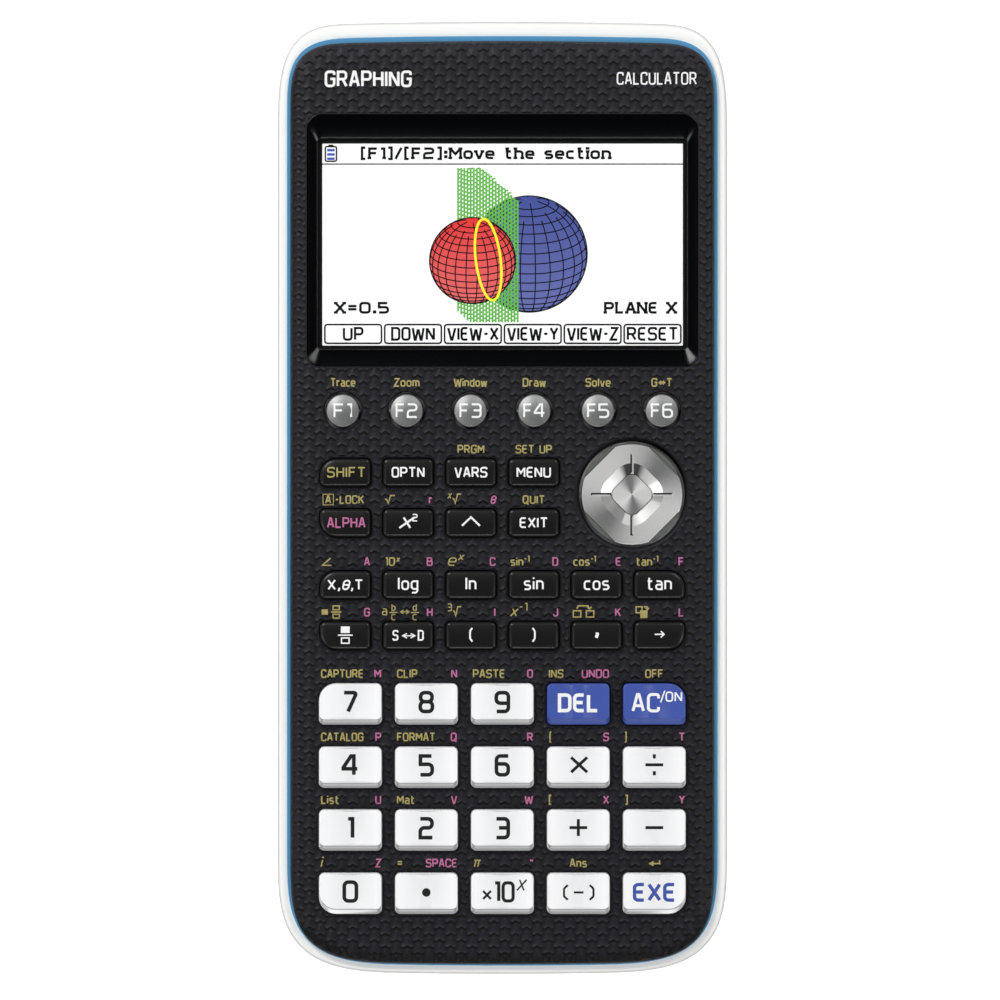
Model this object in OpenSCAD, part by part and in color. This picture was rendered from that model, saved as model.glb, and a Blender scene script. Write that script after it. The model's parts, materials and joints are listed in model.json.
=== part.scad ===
// Graphing calculator: rubber-dome keypad, colour display, four AAA cells behind the display.
// The calculator lies on its back. Origin: centre of the footprint, at the surface it lies on.
// +X to the right, +Y towards the display end, +Z out of the key face.

/* [Case] */
// Width of the rear case at its widest
case_w = 89; // [88.6:0.1:89.6]
// Length of the case
case_l = 188.5; // [188:0.1:189.5]
// Height of the flat key face above the feet
face_z = 16.6; // [16.5:0.1:17]
// Thickness of the key face
plate_t = 2; // [1.8:0.1:2]
// Height of the moulded feet
foot_h = 0.5; // [0.4:0.1:0.6]

/* [Display] */
// Width of the bright area of the display
screen_w = 71.3; // [68:0.1:72]
// Height of the bright area of the display
screen_h = 40; // [38:0.1:40.5]
// Centre of the display along the case
screen_y = 50.2; // [50:0.1:50.4]

/* [Keys] */
// Travel of every key
key_travel = 1; // [0.6:0.1:1]
// Clearance between a key and its hole, all round
key_gap = 0.25; // [0.2:0.05:0.3]
// Width of a number key
number_key_w = 12.45; // [12:0.05:12.45]
// Height of a number key, along the case
number_key_h = 8.2; // [7.8:0.1:8.2]
// Width of a function-name key
word_key_w = 10; // [9.6:0.1:10]
// Height of a function-name key, along the case
word_key_h = 5.5; // [5.2:0.1:5.5]
// Diameter of a round key under the display
round_key_d = 6.5; // [6.2:0.1:6.6]
// How high the number keys stand above the feet
number_top_z = 18.6; // [18.3:0.1:18.6]
// How high the function-name keys stand above the feet
word_top_z = 18.1; // [17.8:0.1:18.3]

/* [Cursor pad] */
// Diameter of the metal cursor pad
pad_d = 19.8; // [19.4:0.1:19.8]
// Height of the cursor pad above the feet
pad_top_z = 18.1; // [17.8:0.1:18.3]

/* [Batteries] */
// Diameter of an AAA cell
cell_d = 10.5; // [10.3:0.1:10.5]
// Length of an AAA cell with its nub
cell_l = 44.5; // [43.5:0.1:44.5]

/* [Hidden] */
$fn = 48;

// Outlines: [half width, top y, bottom y, top corner [x, y], bottom corner [x, y]]
FRONT = [41.9, case_l / 2 - 3.97, -case_l / 2 + 2.05, [13.2, 13.6], [23, 20.9]];
REAR = [case_w / 2, case_l / 2, -case_l / 2, [15.8, 23.3], [27.2, 24.6]];
BAND = grow(FRONT, 0.8, 1.05, 0.5);
RIM = grow(BAND, 0.05, 0.05, 0.05);
// Corners of the case are squarer than ellipses, and its ends are slightly arched
CORNER_POWER = 3.5;
ARCH = 0.0000044;

// Heights of the layers
under_z = face_z - plate_t;
back_in_z = foot_h + 2;
skirt_z = 12.4;
rim_z = 13.4;
board_z = 9.8;
board_t = 0.8;
mat_z = board_z + board_t;
mat_t = 1;
dome_z = mat_z + mat_t + key_travel + 0.4;
flange_z = dome_z + 0.4;
flange_t = under_z - 0.1 - flange_z;
flange_w = 0.7;

// Display
frame_outer = [77.3, 50];
frame_y = screen_y + 0.6;
window = [73.1, 41.7];
window_z = under_z + 0.05;
window_t = 0.65;
module_size = [screen_w + 4.1, screen_h + 6, 1.6];
module_y = screen_y - 0.7;

// Key sizes, rows and columns
word_key = [word_key_w, word_key_h];
number_key = [number_key_w, number_key_h];
word_x = [-31, -18.6, -6.2, 6.2, 18.6, 31];
word_y = [5, -4.95, -17.2, -27.2];
number_x = [-30, -15, 0, 15, 30];
number_y = [-40.7, -53.2, -65.6, -78.1];
round_x = [-31.5, -18.9, -6.3, 6.3, 18.9, 31.5];
round_y = 17.2;
round_hole_r = 3.75;
round_top_z = 18;
pad_at = [25.6, 0.65];
pad_hole_r = 10.45;
pad_tilt_z = 13.1;

// Key corners: 0 all alike, 1 top right, 2 top left, 3 bottom left, 4 bottom right is the large one
WORD_KEYS = [
    ["key_shift", 0, 0, 2], ["key_option", 1, 0, 0],
    ["key_variables", 2, 0, 0], ["key_menu", 3, 0, 0],
    ["key_alpha", 0, 1, 3], ["key_square", 1, 1, 0],
    ["key_power", 2, 1, 0], ["key_exit", 3, 1, 0],
    ["key_xt", 0, 2, 2], ["key_log", 1, 2, 0], ["key_ln", 2, 2, 0],
    ["key_sin", 3, 2, 0], ["key_cos", 4, 2, 0], ["key_tan", 5, 2, 1],
    ["key_fraction", 0, 3, 3], ["key_convert", 1, 3, 0], ["key_bracket_open", 2, 3, 0],
    ["key_bracket_close", 3, 3, 0], ["key_comma", 4, 3, 0], ["key_store", 5, 3, 4]
];
NUMBER_KEYS = [
    ["key_7", 0, 0, 2], ["key_8", 1, 0, 0], ["key_9", 2, 0, 0],
    ["key_delete", 3, 0, 0], ["key_clear", 4, 0, 1],
    ["key_4", 0, 1, 0], ["key_5", 1, 1, 0], ["key_6", 2, 1, 0],
    ["key_multiply", 3, 1, 0], ["key_divide", 4, 1, 0],
    ["key_1", 0, 2, 0], ["key_2", 1, 2, 0], ["key_3", 2, 2, 0],
    ["key_add", 3, 2, 0], ["key_subtract", 4, 2, 0],
    ["key_0", 0, 3, 3], ["key_point", 1, 3, 0], ["key_exponent", 2, 3, 0],
    ["key_negative", 3, 3, 0], ["key_execute", 4, 3, 4]
];
ROUND_KEYS = [for (i = [0:5]) str("key_f", i + 1)];

// Battery bay and its cover
cell_pitch = 11.2;
cell_x = [for (i = [0:3]) (i - 1.5) * cell_pitch];
cell_z = foot_h + 1.3 + cell_d / 2;
bay = [45.2, 49.4];
bay_y = 50.2;
// Each cell sits against the plate at its nub end, and a spring fills the other end
cell_shift = 1.95;
bay_wall = 1.2;
bay_top_z = cell_z + cell_d / 2 + 0.05;
roof_t = 0.6;
cover = [49.2, 54.6, 1.2];
cover_y = 49.9;
cover_gap = 0.3;
hook_x = [-13, 13];
hook_w = 6;

// Screws through the rear case into the front case
screw_at = [[-33, -86.2], [33, -86.2], [-39, 20], [39, 20], [-36, 83], [36, 83]];
screw_r = 0.9;
boss_r = 1.9;
well_z = 3;

// Sockets on the top edge
jack_x = -14;
jack_r = 1.27;
jack_depth = 11;
socket_face_y = 92;
jack_z = board_z - 2.5;
usb_x = 9;
usb_z = board_z - 2;

restart_at = [30, 14];
restart_travel = 0.8;

foot_at = [[-24, -85.5], [24, -85.5], [-22, 86], [22, 86]];
post_at = [[-31, -66], [31, -66], [-31, -10], [31, -10], [0, 12], [0, -60]];

// ---------- Outlines ----------

function bent(v, power) = sign(v) * pow(abs(v), 2 / power);

// Quarter of an ellipse about c with half axes r, from angle a. A power above 2 makes it squarer
function quarter(c, r, a, n, power = 2) = [
    for (i = [0:n]) let (t = a + 90 * i / n)
        [c[0] + r[0] * bent(cos(t), power), c[1] + r[1] * bent(sin(t), power)]
];

function grow(o, side, top, bottom) = [
    o[0] + side, o[1] + top, o[2] - bottom,
    [o[3][0] + side, o[3][1] + top], [o[4][0] + side, o[4][1] + bottom]
];

function inset(o, d) = grow(o, -d, -d, -d);

function mix(a, b, t) = [for (i = [0:4]) a[i] + (b[i] - a[i]) * t];

function arched(p) = [p[0], p[1] * (1 - ARCH * p[0] * p[0])];

// Case outline: straight sides, arched ends, and larger corners at the bottom
function outline(o, n = 9) = [
    for (p = concat(
        quarter([o[0] - o[3][0], o[1] - o[3][1]], o[3], 0, n, CORNER_POWER),
        [[0, o[1]]],
        quarter([o[3][0] - o[0], o[1] - o[3][1]], o[3], 90, n, CORNER_POWER),
        quarter([o[4][0] - o[0], o[2] + o[4][1]], o[4], 180, n, CORNER_POWER),
        [[0, o[2]]],
        quarter([o[0] - o[4][0], o[2] + o[4][1]], o[4], 270, n, CORNER_POWER)
    )) arched(p)
];

// Rectangle of size s about the origin, with corner radii r counted from the top right
function round_box(s, r, n = 4) = concat(
    quarter([s[0] / 2 - r[0], s[1] / 2 - r[0]], [r[0], r[0]], 0, n),
    quarter([r[1] - s[0] / 2, s[1] / 2 - r[1]], [r[1], r[1]], 90, n),
    quarter([r[2] - s[0] / 2, r[2] - s[1] / 2], [r[2], r[2]], 180, n),
    quarter([s[0] / 2 - r[3], r[3] - s[1] / 2], [r[3], r[3]], 270, n));

function translated(points, d) = [for (p = points) p + d];

// Corner radii of a key whose corner number k is the large one
function key_radii(k, small, large) = [for (i = [1:4]) i == k ? large : small];
function word_radii(k) = key_radii(k, 1, 3.2);
function number_radii(k) = key_radii(k, 1.1, 3.4);
function more(r, d) = [for (v = r) v + d];

function word_place(k) = [word_x[k[1]], word_y[k[2]]];
function number_place(k) = [number_x[k[1]], number_y[k[2]]];

// ---------- Shared solids ----------

module slab(points, z, t) {
    translate([0, 0, z]) linear_extrude(t) polygon(points);
}

// Closed solid through a stack of outlines with equally many points: [[z, points], ...]
module loft(slices) {
    n = len(slices[0][1]);
    last = len(slices) - 1;
    polyhedron(
        points = [for (s = slices) for (p = s[1]) [p[0], p[1], s[0]]],
        faces = concat(
            [[for (i = [0:n - 1]) i], [for (i = [n - 1:-1:0]) last * n + i]],
            [for (j = [0:last - 1]) for (i = [0:n - 1]) let (a = j * n, b = (i + 1) % n)
                each [[a + i, a + n + i, a + n + b], [a + i, a + n + b, a + b]]]));
}

module at(p) {
    translate([p[0], p[1], 0]) children();
}

module tube_z(r, z0, z1) {
    translate([0, 0, z0]) cylinder(r = r, h = z1 - z0);
}

// ---------- Case ----------

// Hole for a key of size s and corner radii r
module key_hole(s, r) {
    slab(round_box(s + [2, 2] * key_gap, more(r, key_gap)), under_z - 1, plate_t + 2);
}

module key_holes() {
    for (k = WORD_KEYS) at(word_place(k)) key_hole(word_key, word_radii(k[3]));
    for (k = NUMBER_KEYS) at(number_place(k)) key_hole(number_key, number_radii(k[3]));
    for (x = round_x) at([x, round_y]) tube_z(round_hole_r, under_z - 1, face_z + 1);
}

// Sloping recess round the display, with a pocket behind it for the window
module display_opening() {
    inner = translated(round_box(window, [1, 1, 1, 1]), [0, screen_y]);
    outer = translated(round_box(frame_outer, [2.8, 2.8, 2.8, 2.8]), [0, frame_y]);
    pocket = translated(round_box(window + [1.6, 1.6], [1, 1, 1, 1]), [0, screen_y]);
    slab(inner, under_z - 1, plate_t + 2);
    slab(pocket, under_z - 1, window_t + 1.1);
    loft([[window_z + window_t + 0.3, inner], [face_z + 0.01, outer]]);
}

module front_case() {
    color([0.17, 0.17, 0.19]) difference() {
        union() {
            difference() {
                loft([for (c = [[skirt_z, 0], [face_z - 1.3, 0], [face_z - 0.6, 0.45],
                                [face_z - 0.15, 1.6], [face_z, 3.6]]) [c[0], outline(inset(FRONT, c[1]))]]);
                slab(outline(inset(FRONT, 1.8)), skirt_z - 1, under_z - skirt_z + 1);
            }
            for (p = screw_at) at(p) tube_z(boss_r, skirt_z, under_z + 0.5);
        }
        key_holes();
        display_opening();
        at(pad_at) {
            tube_z(pad_hole_r, under_z - 1, face_z + 1);
            translate([0, 0, face_z - 0.6]) cylinder(r1 = pad_hole_r, r2 = pad_hole_r + 0.7, h = 0.7);
        }
        for (p = screw_at) at(p) tube_z(screw_r + 0.05, skirt_z - 1, under_z + 0.9);
    }
}

module accent_band() {
    color([0.31, 0.57, 0.75]) difference() {
        slab(outline(BAND), rim_z, 1.1);
        slab(outline(inset(FRONT, -0.03)), rim_z - 1, 4);
    }
}

module rear_shell() {
    difference() {
        loft([for (c = [[foot_h, inset(REAR, 3.3)], [foot_h + 0.4, inset(REAR, 2.1)],
                        [foot_h + 1.5, inset(REAR, 1)], [foot_h + 4, inset(REAR, 0.25)],
                        [foot_h + 7.5, REAR], [rim_z - 1.5, mix(REAR, RIM, 0.02)],
                        [rim_z - 0.6, mix(REAR, RIM, 0.25)], [rim_z - 0.25, mix(REAR, RIM, 0.57)],
                        [rim_z, RIM]]) [c[0], outline(c[1])]]);
        loft([for (c = [[back_in_z, inset(REAR, 3.2)], [5, inset(REAR, 2.1)], [8.5, inset(REAR, 1.9)],
                        [skirt_z + 0.01, inset(FRONT, 1)]]) [c[0], outline(c[1])]]);
        // Step that the front case's skirt drops into
        slab(outline(inset(FRONT, -0.05)), skirt_z, 3);
    }
}

// Walls and roof round the four cells
module bay_walls() {
    bottom = foot_h + 1.4;
    shape = round_box(bay + [2, 2] * bay_wall, [1, 1, 1, 1]);
    at([0, bay_y]) slab(shape, bottom, bay_top_z + roof_t - bottom);
}

module battery_openings() {
    seat = [cover[0], cover[1]] + [2, 2] * cover_gap;
    at([0, bay_y]) slab(round_box(bay, [0.6, 0.6, 0.6, 0.6]), foot_h - 1, bay_top_z - foot_h + 1);
    at([0, cover_y]) slab(round_box(seat, [2.3, 2.3, 2.3, 2.3]), foot_h - 1, cover[2] + 1.05);
    // Slots for the cover's two hooks, and the dip for a fingertip at the other end
    for (x = hook_x) translate([x - hook_w / 2 - 0.4, cover_y - cover[1] / 2 - 1.9, foot_h + cover[2]])
        cube([hook_w + 0.8, 4.2, 1]);
    translate([0, cover_y + cover[1] / 2 + 1, foot_h - 5.2]) sphere(r = 6);
}

module rear_case() {
    color([0.97, 0.97, 0.95]) difference() {
        union() {
            rear_shell();
            bay_walls();
            for (p = screw_at) at(p) {
                tube_z(boss_r, back_in_z - 1, skirt_z);
                tube_z(boss_r + 0.9, back_in_z - 1, well_z + 1);
            }
            for (p = post_at) at(p) tube_z(1.5, back_in_z - 1, board_z);
            for (p = foot_at) at(p) slab(round_box([9, 4], [1.9, 1.9, 1.9, 1.9]), 0, foot_h + 0.5);
        }
        battery_openings();
        for (p = screw_at) at(p) {
            tube_z(screw_r + 0.2, foot_h - 1, skirt_z + 1);
            tube_z(boss_r + 0.1, foot_h - 1, well_z);
        }
        at(restart_at) tube_z(1.4, foot_h - 1, back_in_z + 1);
        translate([jack_x, case_l / 2 + 1, jack_z]) rotate([90, 0, 0]) cylinder(r = 3, h = 4.2);
        translate([usb_x - 4.3, case_l / 2 - 3.2, usb_z - 2.3]) cube([8.6, 4.2, 4.6]);
    }
}

// ---------- Display ----------

module display_window() {
    sheet = round_box(window + [1.3, 1.3], [0.9, 0.9, 0.9, 0.9]);
    color([0.8, 0.85, 0.9, 0.35]) at([0, screen_y]) slab(sheet, window_z, window_t);
}

module display_panel() {
    bottom = under_z - module_size[2];
    color([0.93, 0.94, 0.95]) at([0, module_y]) {
        slab(round_box([module_size[0], module_size[1]], [0.5, 0.5, 0.5, 0.5]), bottom, module_size[2]);
        // Flexible tail that folds towards the circuit board
        translate([-9, -module_size[1] / 2 - 5, bottom]) cube([18, 5.2, 0.3]);
    }
}

// ---------- Electronics ----------

// Board under the keys, an arm each side of the battery bay, and a strip for the sockets
module board_shape() {
    translate([-36.9, -83.6]) square([73.8, 105.4]);
    for (s = [-1, 1]) translate([s * 30.7 - 5.8, 20]) square([11.6, 59]);
    translate([-32.8, 78.2]) square([65.6, 10]);
}

module link_jack() {
    translate([jack_x, socket_face_y, jack_z]) rotate([90, 0, 0]) difference() {
        union() {
            cylinder(r = 2.4, h = 3);
            translate([-3.5, -2.5, 1.5]) cube([7, 5, jack_depth]);
        }
        translate([0, 0, -1]) cylinder(r = jack_r, h = jack_depth + 1);
    }
}

module usb_socket() {
    translate([usb_x - 3.85, socket_face_y - 9, usb_z - 2]) difference() {
        cube([7.7, 9, 4]);
        translate([0.45, 1, 0.45]) cube([6.8, 9, 3.1]);
    }
    translate([usb_x - 2.2, socket_face_y - 8.2, usb_z - 0.2]) cube([4.4, 7, 0.7]);
}

module circuit_board() {
    color([0.1, 0.38, 0.24]) translate([0, 0, board_z]) linear_extrude(board_t) board_shape();
    color([0.6, 0.61, 0.63]) {
        link_jack();
        usb_socket();
    }
    // Chips, crystal, capacitors and the restart switch on the underside
    color([0.12, 0.12, 0.13]) {
        translate([-9, -30, board_z - 1.4]) cube([14, 14, 1.4]);
        translate([10, -26, board_z - 1.1]) cube([12, 8, 1.1]);
        translate([-26, -24, board_z - 1.1]) cube([8, 6, 1.1]);
        translate([-12, -8, board_z - 1]) cube([5, 4, 1]);
        for (i = [0:4]) translate([-20 + 9 * i, -42, board_z - 0.9]) cube([2, 1.2, 0.9]);
        at([-18, 4]) tube_z(2.5, board_z - 5.4, board_z);
        at(restart_at) tube_z(1.6, board_z - 1.3, board_z);
    }
}

module keypad_mat() {
    color([0.8, 0.8, 0.76]) difference() {
        union() {
            translate([-36.8, -83.5, mat_z]) cube([73.6, 105.2, mat_t]);
            for (k = WORD_KEYS) at(word_place(k)) tube_z(2, mat_z, dome_z);
            for (k = NUMBER_KEYS) at(number_place(k)) tube_z(2.6, mat_z, dome_z);
            for (x = round_x) at([x, round_y]) tube_z(2.4, mat_z, dome_z);
            at(pad_at) for (a = [0:90:270]) rotate(a) at([7.5, 0]) tube_z(1.3, mat_z, dome_z - 0.75);
        }
        at(pad_at) tube_z(4.6, mat_z - 1, mat_z + mat_t + 1);
    }
}

// Places children on each cell, with the nub end at +Z; neighbours point opposite ways
module on_cells() {
    for (i = [0:3]) translate([cell_x[i], bay_y, cell_z]) rotate([i % 2 == 0 ? 90 : -90, 0, 0])
        translate([0, 0, cell_shift]) children();
}

module batteries() {
    color([0.62, 0.5, 0.25]) on_cells() {
        translate([0, 0, -cell_l / 2]) cylinder(d = cell_d, h = cell_l - 1.2);
        translate([0, 0, cell_l / 2 - 1.2]) cylinder(d = 3.8, h = 1.2);
    }
}

// Plates at both ends of each cell, with a coil spring on the flat end
module battery_contacts() {
    plate_end = -bay[1] / 2 - cell_shift + 0.05;
    color([0.75, 0.76, 0.78]) on_cells() {
        translate([-4, -4, cell_l / 2]) cube([8, 8, 0.4]);
        translate([-4, -4, plate_end]) cube([8, 8, 0.4]);
        for (j = [0:7]) translate([0, 0, plate_end + 0.6 + j * 0.48])
            rotate_extrude() translate([3.3 - 0.22 * j, 0]) circle(r = 0.29);
    }
}

module battery_cover() {
    color([0.97, 0.97, 0.95]) {
        difference() {
            at([0, cover_y]) slab(round_box([cover[0], cover[1]], [2, 2, 2, 2]), foot_h, cover[2]);
            // Slots that free the springy latch tongue, and the dip for a fingertip
            for (s = [-1, 1]) translate([s * 6 - 0.3, cover_y + cover[1] / 2 - 9, foot_h - 1])
                cube([0.6, 9.5, 4]);
            translate([0, cover_y + cover[1] / 2 + 1, foot_h - 5.2]) sphere(r = 6);
        }
        for (x = hook_x) translate([x - hook_w / 2, cover_y - cover[1] / 2 - 1.4, foot_h + cover[2] + 0.1])
            cube([hook_w, 2.8, 0.6]);
        for (x = hook_x) translate([x - hook_w / 2, cover_y - cover[1] / 2, foot_h + cover[2] - 0.5])
            cube([hook_w, 1.4, 0.9]);
    }
}

module case_screws() {
    color([0.55, 0.56, 0.58]) for (p = screw_at) at(p) difference() {
        union() {
            tube_z(1.7, well_z - 1.2, well_z);
            tube_z(screw_r, well_z - 0.2, under_z + 0.4);
        }
        for (a = [0, 90]) rotate(a) translate([-1.1, -0.25, well_z - 1.4]) cube([2.2, 0.5, 0.9]);
    }
}

module restart_button() {
    color([0.25, 0.25, 0.27]) at(restart_at) {
        tube_z(1.1, foot_h + 0.7, board_z - 1.3 - restart_travel - 0.1);
        tube_z(1.9, back_in_z + 0.1, back_in_z + 0.9);
    }
}

// ---------- Keys ----------

// A key cap with a flange under the face and a post on its dome.
// s is its size, r its corner radii, top its height, and slope how far its front side leans back.
module key(s, r, top, slope, post_r) {
    difference() {
        union() {
            loft([[flange_z + 0.3, round_box(s, r)], [top - 0.9, round_box(s, r)],
                  [top, translated(round_box(s - [0.5, 0.5 + slope], r), [0, slope / 2])]]);
            slab(round_box(s + [2, 2] * flange_w, more(r, flange_w)), flange_z, flange_t);
        }
        slab(round_box(s - [2.2, 2.2], more(r, -0.6)), flange_z - 1, top - 1.6 - flange_z + 1);
    }
    tube_z(post_r, dome_z, top - 1.2);
}

module word_key_cap(k) {
    color([0.13, 0.13, 0.14]) at(word_place(k)) key(word_key, word_radii(k[3]), word_top_z, 0, 1.3);
}

module number_key_cap(k) {
    blue = k[0] == "key_delete" || k[0] == "key_clear";
    color(blue ? [0.25, 0.33, 0.66] : [0.95, 0.95, 0.95])
        at(number_place(k)) key(number_key, number_radii(k[3]), number_top_z, 0.6, 2);
}

module round_key_cap(i) {
    r = round_key_d / 2;
    edge_z = round_top_z - 0.8;
    color([0.5, 0.5, 0.52]) at([round_x[i], round_y]) {
        rotate_extrude() polygon(concat(
            [[0, flange_z], [r + 1, flange_z], [r + 1, flange_z + flange_t]],
            [[r, flange_z + flange_t], [r, edge_z]],
            [for (t = [15:15:75]) [r - 0.8 + 0.8 * cos(t), edge_z + 0.65 * sin(t)]], [[0, round_top_z]]));
        tube_z(1.6, dome_z, flange_z + 0.1);
    }
}

// Rocks towards the display and back under the pad
module cursor_carrier() {
    color([0.85, 0.85, 0.83]) at(pad_at) {
        tube_z(3.2, mat_z + 0.35, mat_z + 1.1);
        tube_z(1.2, mat_z + 1, pad_tilt_z - 0.1);
    }
}

module cursor_pad() {
    r = pad_d / 2;
    color([0.72, 0.73, 0.75]) at(pad_at) {
        tube_z(10.8, pad_tilt_z, pad_tilt_z + 0.55);
        tube_z(r, pad_tilt_z + 0.3, pad_top_z - 0.7);
        difference() {
            intersection() {
                tube_z(r, pad_top_z - 0.8, pad_top_z);
                rotate(45) translate([-9, -9, 0]) cube([18, 18, 40]);
            }
            // Shallow square dish in the middle, and the four pointer slots
            rotate(45) translate([-4.2, -4.2, pad_top_z - 0.4]) cube([8.4, 8.4, 1]);
            for (a = [0:90:270]) rotate(a) translate([4, -0.35, pad_top_z - 0.4]) cube([4.1, 0.7, 1]);
        }
    }
}

front_case();
accent_band();
rear_case();
display_window();
display_panel();
circuit_board();
keypad_mat();
battery_cover();
batteries();
battery_contacts();
case_screws();
restart_button();
cursor_carrier();
cursor_pad();
for (i = [0:5]) round_key_cap(i);
for (k = WORD_KEYS) word_key_cap(k);
for (k = NUMBER_KEYS) number_key_cap(k);
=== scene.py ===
"""Graphing calculator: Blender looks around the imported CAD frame.

Sizes in this script are millimetres, and pieces are built in metres. Places come from the frame's
boxes. X points right and Y up in the picture, and comments call them east and north.
"""

import json
from math import ceil, cos, degrees, floor, hypot, pi, radians, sin, tan

import bpy
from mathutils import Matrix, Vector
from mathutils.geometry import delaunay_2d_cdt


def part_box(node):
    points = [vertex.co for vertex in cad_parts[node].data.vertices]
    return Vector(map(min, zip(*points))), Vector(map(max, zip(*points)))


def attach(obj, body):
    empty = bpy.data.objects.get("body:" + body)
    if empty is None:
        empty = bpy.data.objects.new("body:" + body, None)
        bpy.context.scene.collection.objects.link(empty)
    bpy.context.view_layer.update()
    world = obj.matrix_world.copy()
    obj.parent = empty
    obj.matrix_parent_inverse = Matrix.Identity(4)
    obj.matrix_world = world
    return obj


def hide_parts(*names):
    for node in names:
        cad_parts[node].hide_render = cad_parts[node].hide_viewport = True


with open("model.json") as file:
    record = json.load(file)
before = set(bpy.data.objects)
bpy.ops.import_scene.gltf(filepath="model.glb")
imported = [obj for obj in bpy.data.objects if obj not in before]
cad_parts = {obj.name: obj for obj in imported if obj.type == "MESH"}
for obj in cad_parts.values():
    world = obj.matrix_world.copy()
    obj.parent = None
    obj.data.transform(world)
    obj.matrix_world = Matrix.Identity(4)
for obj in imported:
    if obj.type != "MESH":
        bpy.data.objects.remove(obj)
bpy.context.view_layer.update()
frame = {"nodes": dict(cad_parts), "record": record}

MM = 0.001


# ---------- Places from the frame ----------

def node_box(node):
    """(lowest corner, highest corner) of a CAD node, in millimetres."""
    low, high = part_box(node)
    return low / MM, high / MM


def middle(node):
    """Middle of a CAD node's box."""
    low, high = node_box(node)
    return (low + high) / 2


# How far a key's hidden flange reaches past its cap
FLANGE = 0.7
# The joint of one key; every key has the same travel
PRESS = next(j for j in frame["record"]["behaviour"]["joints"] if j["name"] == "press_7")
# Room that a key's post leaves above its silicone dome, so that the two don't meet when it is pressed
POST_GAP = PRESS["range_m"][1] / MM + 0.05
NUMBER_KEYS = {
    "key_7": "7", "key_8": "8", "key_9": "9", "key_delete": "DEL", "key_clear": "AC",
    "key_4": "4", "key_5": "5", "key_6": "6", "key_multiply": "×", "key_divide": "÷",
    "key_1": "1", "key_2": "2", "key_3": "3", "key_add": "+", "key_subtract": "−",
    "key_0": "0", "key_point": "•", "key_exponent": "×10", "key_negative": "(–)", "key_execute": "EXE",
}
WORD_KEYS = {
    "key_shift": "SHIFT", "key_option": "OPTN", "key_variables": "VARS", "key_menu": "MENU",
    "key_alpha": "ALPHA", "key_square": "~x<2>", "key_power": "^", "key_exit": "EXIT",
    "key_xt": "X,~θ,T", "key_log": "log", "key_ln": "ln", "key_sin": "sin", "key_cos": "cos",
    "key_tan": "tan", "key_fraction": "½", "key_convert": "S↔D", "key_bracket_open": "(",
    "key_bracket_close": ")", "key_comma": ",", "key_store": "→",
}
ROUND_KEYS = {f"key_f{i}": f"F{i}" for i in range(1, 7)}
# The corner of each key that is rounder: 1 top right, 2 top left, 3 bottom left, 4 bottom right
ROUND_CORNER = {
    "key_shift": 2, "key_xt": 2, "key_7": 2, "key_alpha": 3, "key_fraction": 3, "key_0": 3,
    "key_tan": 1, "key_clear": 1, "key_store": 4, "key_execute": 4,
}
# Gap between a key's cap and the edge of its hole
HOLE_GAP = 0.125

face_low, face_high = node_box("front_case")
rear_low, rear_high = node_box("rear_case")
band_low, band_high = node_box("accent_band")
FACE_Z = face_high.z
UNDER_Z = FACE_Z - 2
SKIRT_Z = face_low.z
RIM_Z = band_low.z
# Underside and top of the keys' flanges
FLANGE_LOW = UNDER_Z - 1.2
FLANGE_HIGH = UNDER_Z - 0.1

# Outlines: half width, top y, bottom y, top corner half axes, bottom corner half axes
FRONT = [face_high.x, face_high.y, face_low.y, [13.2, 13.6], [23, 20.9]]
REAR = [rear_high.x, rear_high.y, rear_low.y, [15.8, 23.3], [27.2, 24.6]]
# Power of the corners: 2 is an ellipse, and more is squarer. ARCH is the share of y that the ends lose
# per square millimetre of x.
CORNER_POWER = 3.5
ARCH = 0.0000044

window_at = middle("display_window")
WINDOW = [73.1, 41.7]
BEZEL = [77.3, 50]
BEZEL_CORNER = 2.8
bezel_at = Vector((0, window_at.y + 0.6))
pad_at = middle("cursor_pad")
PAD_TOP = node_box("cursor_pad")[1].z
PAD_HOLE_R = 10.45
ROUND_HOLE_R = 3.75


# ---------- Plane shapes ----------

def grow(o, side, top, bottom):
    """A case outline moved outwards at its sides, top and bottom."""
    return [o[0] + side, o[1] + top, o[2] - bottom,
            [o[3][0] + side, o[3][1] + top], [o[4][0] + side, o[4][1] + bottom]]


def inset(o, d):
    return grow(o, -d, -d, -d)


# Rounder at its corners than the face, so that the ring thins out there
BAND = [FRONT[0] + 0.7, FRONT[1] + 1.05, FRONT[2] - 0.32, [14.8, 15.6], [25.2, 22.7]]
RIM = grow(BAND, 0.05, 0.05, 0.05)


def bent(value, power):
    """A sine or cosine bent so that an ellipse's quarter becomes squarer."""
    return abs(value) ** (2 / power) * (1 if value > 0 else -1)


def quarter(centre, axes, start, n, power=2):
    """Quarter of an ellipse; a power above 2 makes it squarer."""
    angles = [radians(start + 90 * i / n) for i in range(n + 1)]
    return [(centre[0] + axes[0] * bent(cos(a), power), centre[1] + axes[1] * bent(sin(a), power))
            for a in angles]


def arch(x):
    """The ends of the case are slightly arched."""
    return 1 - ARCH * x * x


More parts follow.
